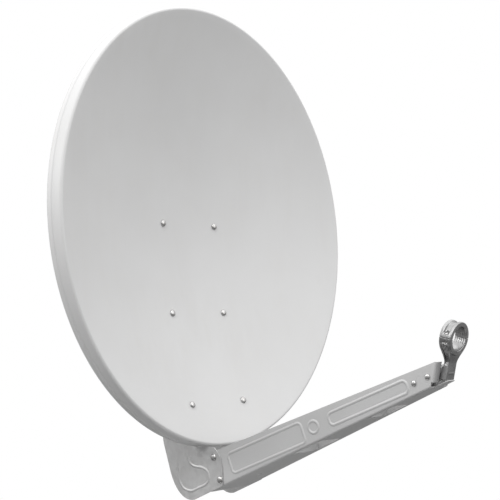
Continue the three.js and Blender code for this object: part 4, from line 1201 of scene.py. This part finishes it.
def make_jaw(node, z, rear):
    lip = JAW_ROOT - JAW_V_HALF_WIDTH * tan(JAW_V_SLOPE)
    face = []
    for index, t in enumerate(steps(2 * JAW_TEETH)):
        x = JAW_V_HALF_WIDTH * (1 - t)
        face.append((x, -(JAW_ROOT - x * tan(JAW_V_SLOPE) + (JAW_TOOTH if index % 2 else 0))))
    far = [(-x, y) for x, y in reversed(face[:-1])]
    outline = [(-JAW_HALF_WIDTH, -JAW_REAR), (JAW_HALF_WIDTH, -JAW_REAR), (JAW_HALF_WIDTH, -lip)]
    outline += [*face, *far, (-JAW_HALF_WIDTH, -lip)]
    bm = extruded(outline, lambda x, y, h: (x, y, h), JAW_HEIGHT / 2)
    holes = [rod_bm(hole("M8"), (s * CLAMP_BOLT_X, -60, 0), (s * CLAMP_BOLT_X, 10, 0)) for s in (-1, 1)]
    turn = Matrix.Rotation(math.pi if rear else 0, 4, "Z")
    cast_piece(node, ANTENNA @ Matrix.Translation((0, 0, z)) @ turn, [bm], holes, voxel=0.7, rounds=2)


# ---------------- the studio

LIGHT_TARGET = Vector((0, -0.3, 0))
# Name, place in metres, diameter and power in watts.
LIGHTS = (
    ("key", (-3.0, -1.2, 2.4), 1.4, 34),
    ("fill", (1.0, -3.2, 1.0), 2.4, 16),
    ("edge", (-2.4, 1.7, 1.3), 1.4, 21),
)
WORLD_BELOW = 0.02
WORLD_HORIZON = (0.47, 0.42)  # place from straight down to straight up, and level
WORLD_ABOVE = 2.1
FLOOR_DROP = 2.6
FLOOR_RADIUS = 1.5
FLOOR_GREY = 0.52
CAMERA_PLACE = Vector((-1.736, -1.7755, 0.0149))
CAMERA_LOOK = Vector((0.7571, 0.6519, 0.0422))
CAMERA_LENS = 87.8


def aimed(name, data, place, look):
    """Adds a light or a camera that looks in a direction."""
    obj = added(name, data)
    obj.location = place
    obj.rotation_euler = look.to_track_quat("-Z", "Y").to_euler()
    return obj


def make_lights():
    for name, place, size, power in LIGHTS:
        data = bpy.data.lights.new(name, "AREA")
        data.shape, data.size, data.energy = "DISK", size, power
        aimed(name, data, place, LIGHT_TARGET - Vector(place))


def make_world():
    """Light from all round, bright above and nearly black below; the camera sees plain white."""
    world = bpy.data.worlds.new("studio")
    bpy.context.scene.world = world
    world.use_nodes = True
    tree = world.node_tree
    new, link = tree.nodes.new, tree.links.new
    background = tree.nodes["Background"]
    place = new("ShaderNodeTexCoord")
    split = new("ShaderNodeSeparateXYZ")
    ramp = new("ShaderNodeValToRGB")
    span = new("ShaderNodeMapRange")
    span.inputs["From Min"].default_value, span.inputs["From Max"].default_value = -1, 1
    elements = ramp.color_ramp.elements
    elements[0].color, elements[1].color = (*grey(WORLD_BELOW), 1), (*grey(WORLD_ABOVE), 1)
    elements.new(WORLD_HORIZON[0]).color = (*grey(WORLD_HORIZON[1]), 1)
    seen = new("ShaderNodeLightPath")
    mix = new("ShaderNodeMix")
    mix.data_type = "RGBA"
    mix.inputs[7].default_value = (1, 1, 1, 1)
    link(place.outputs["Generated"], split.inputs["Vector"])
    link(split.outputs["Z"], span.inputs["Value"])
    link(span.outputs["Result"], ramp.inputs["Fac"])
    link(ramp.outputs["Color"], mix.inputs[6])
    link(seen.outputs["Is Camera Ray"], mix.inputs["Factor"])
    link(mix.outputs[2], background.inputs["Color"])


def make_floor():
    bm = bmesh.new()
    bmesh.ops.create_circle(bm, cap_ends=True, radius=FLOOR_RADIUS, segments=128)
    obj = added("studio_floor", mesh_of(bm, "studio_floor"))
    obj.location = (0, 0, -FLOOR_DROP)
    n = Nodes("studio_floor", FLOOR_GREY, 0.9, 0.0)
    n.into("Base Color", n.ramp(n.noise(2.0, 2.0), (0.3, FLOOR_GREY - 0.01), (0.7, FLOOR_GREY + 0.01)))
    obj.data.materials.append(n.material)


def make_camera():
    data = bpy.data.cameras.new("camera")
    data.lens, data.sensor_width = CAMERA_LENS, 36
    bpy.context.scene.camera = aimed("camera", data, CAMERA_PLACE, CAMERA_LOOK)


def finish():
    make_reflector()
    make_fasteners()
    for side, sign in SIDES:
        make_side_plate(side, sign)
    for place, top in TIE_TOPS.items():
        make_tie(place, top)
    make_arm()
    make_feed_clamp()
    make_saddle()
    for level, z in JAW_LEVELS:
        make_jaw(f"front_jaw_{level}", z, False)
        make_jaw(f"rear_jaw_{level}", z, True)
    make_world()
    make_floor()
    make_lights()
    make_camera()
    bpy.context.scene.view_settings.view_transform = "Standard"


finish()
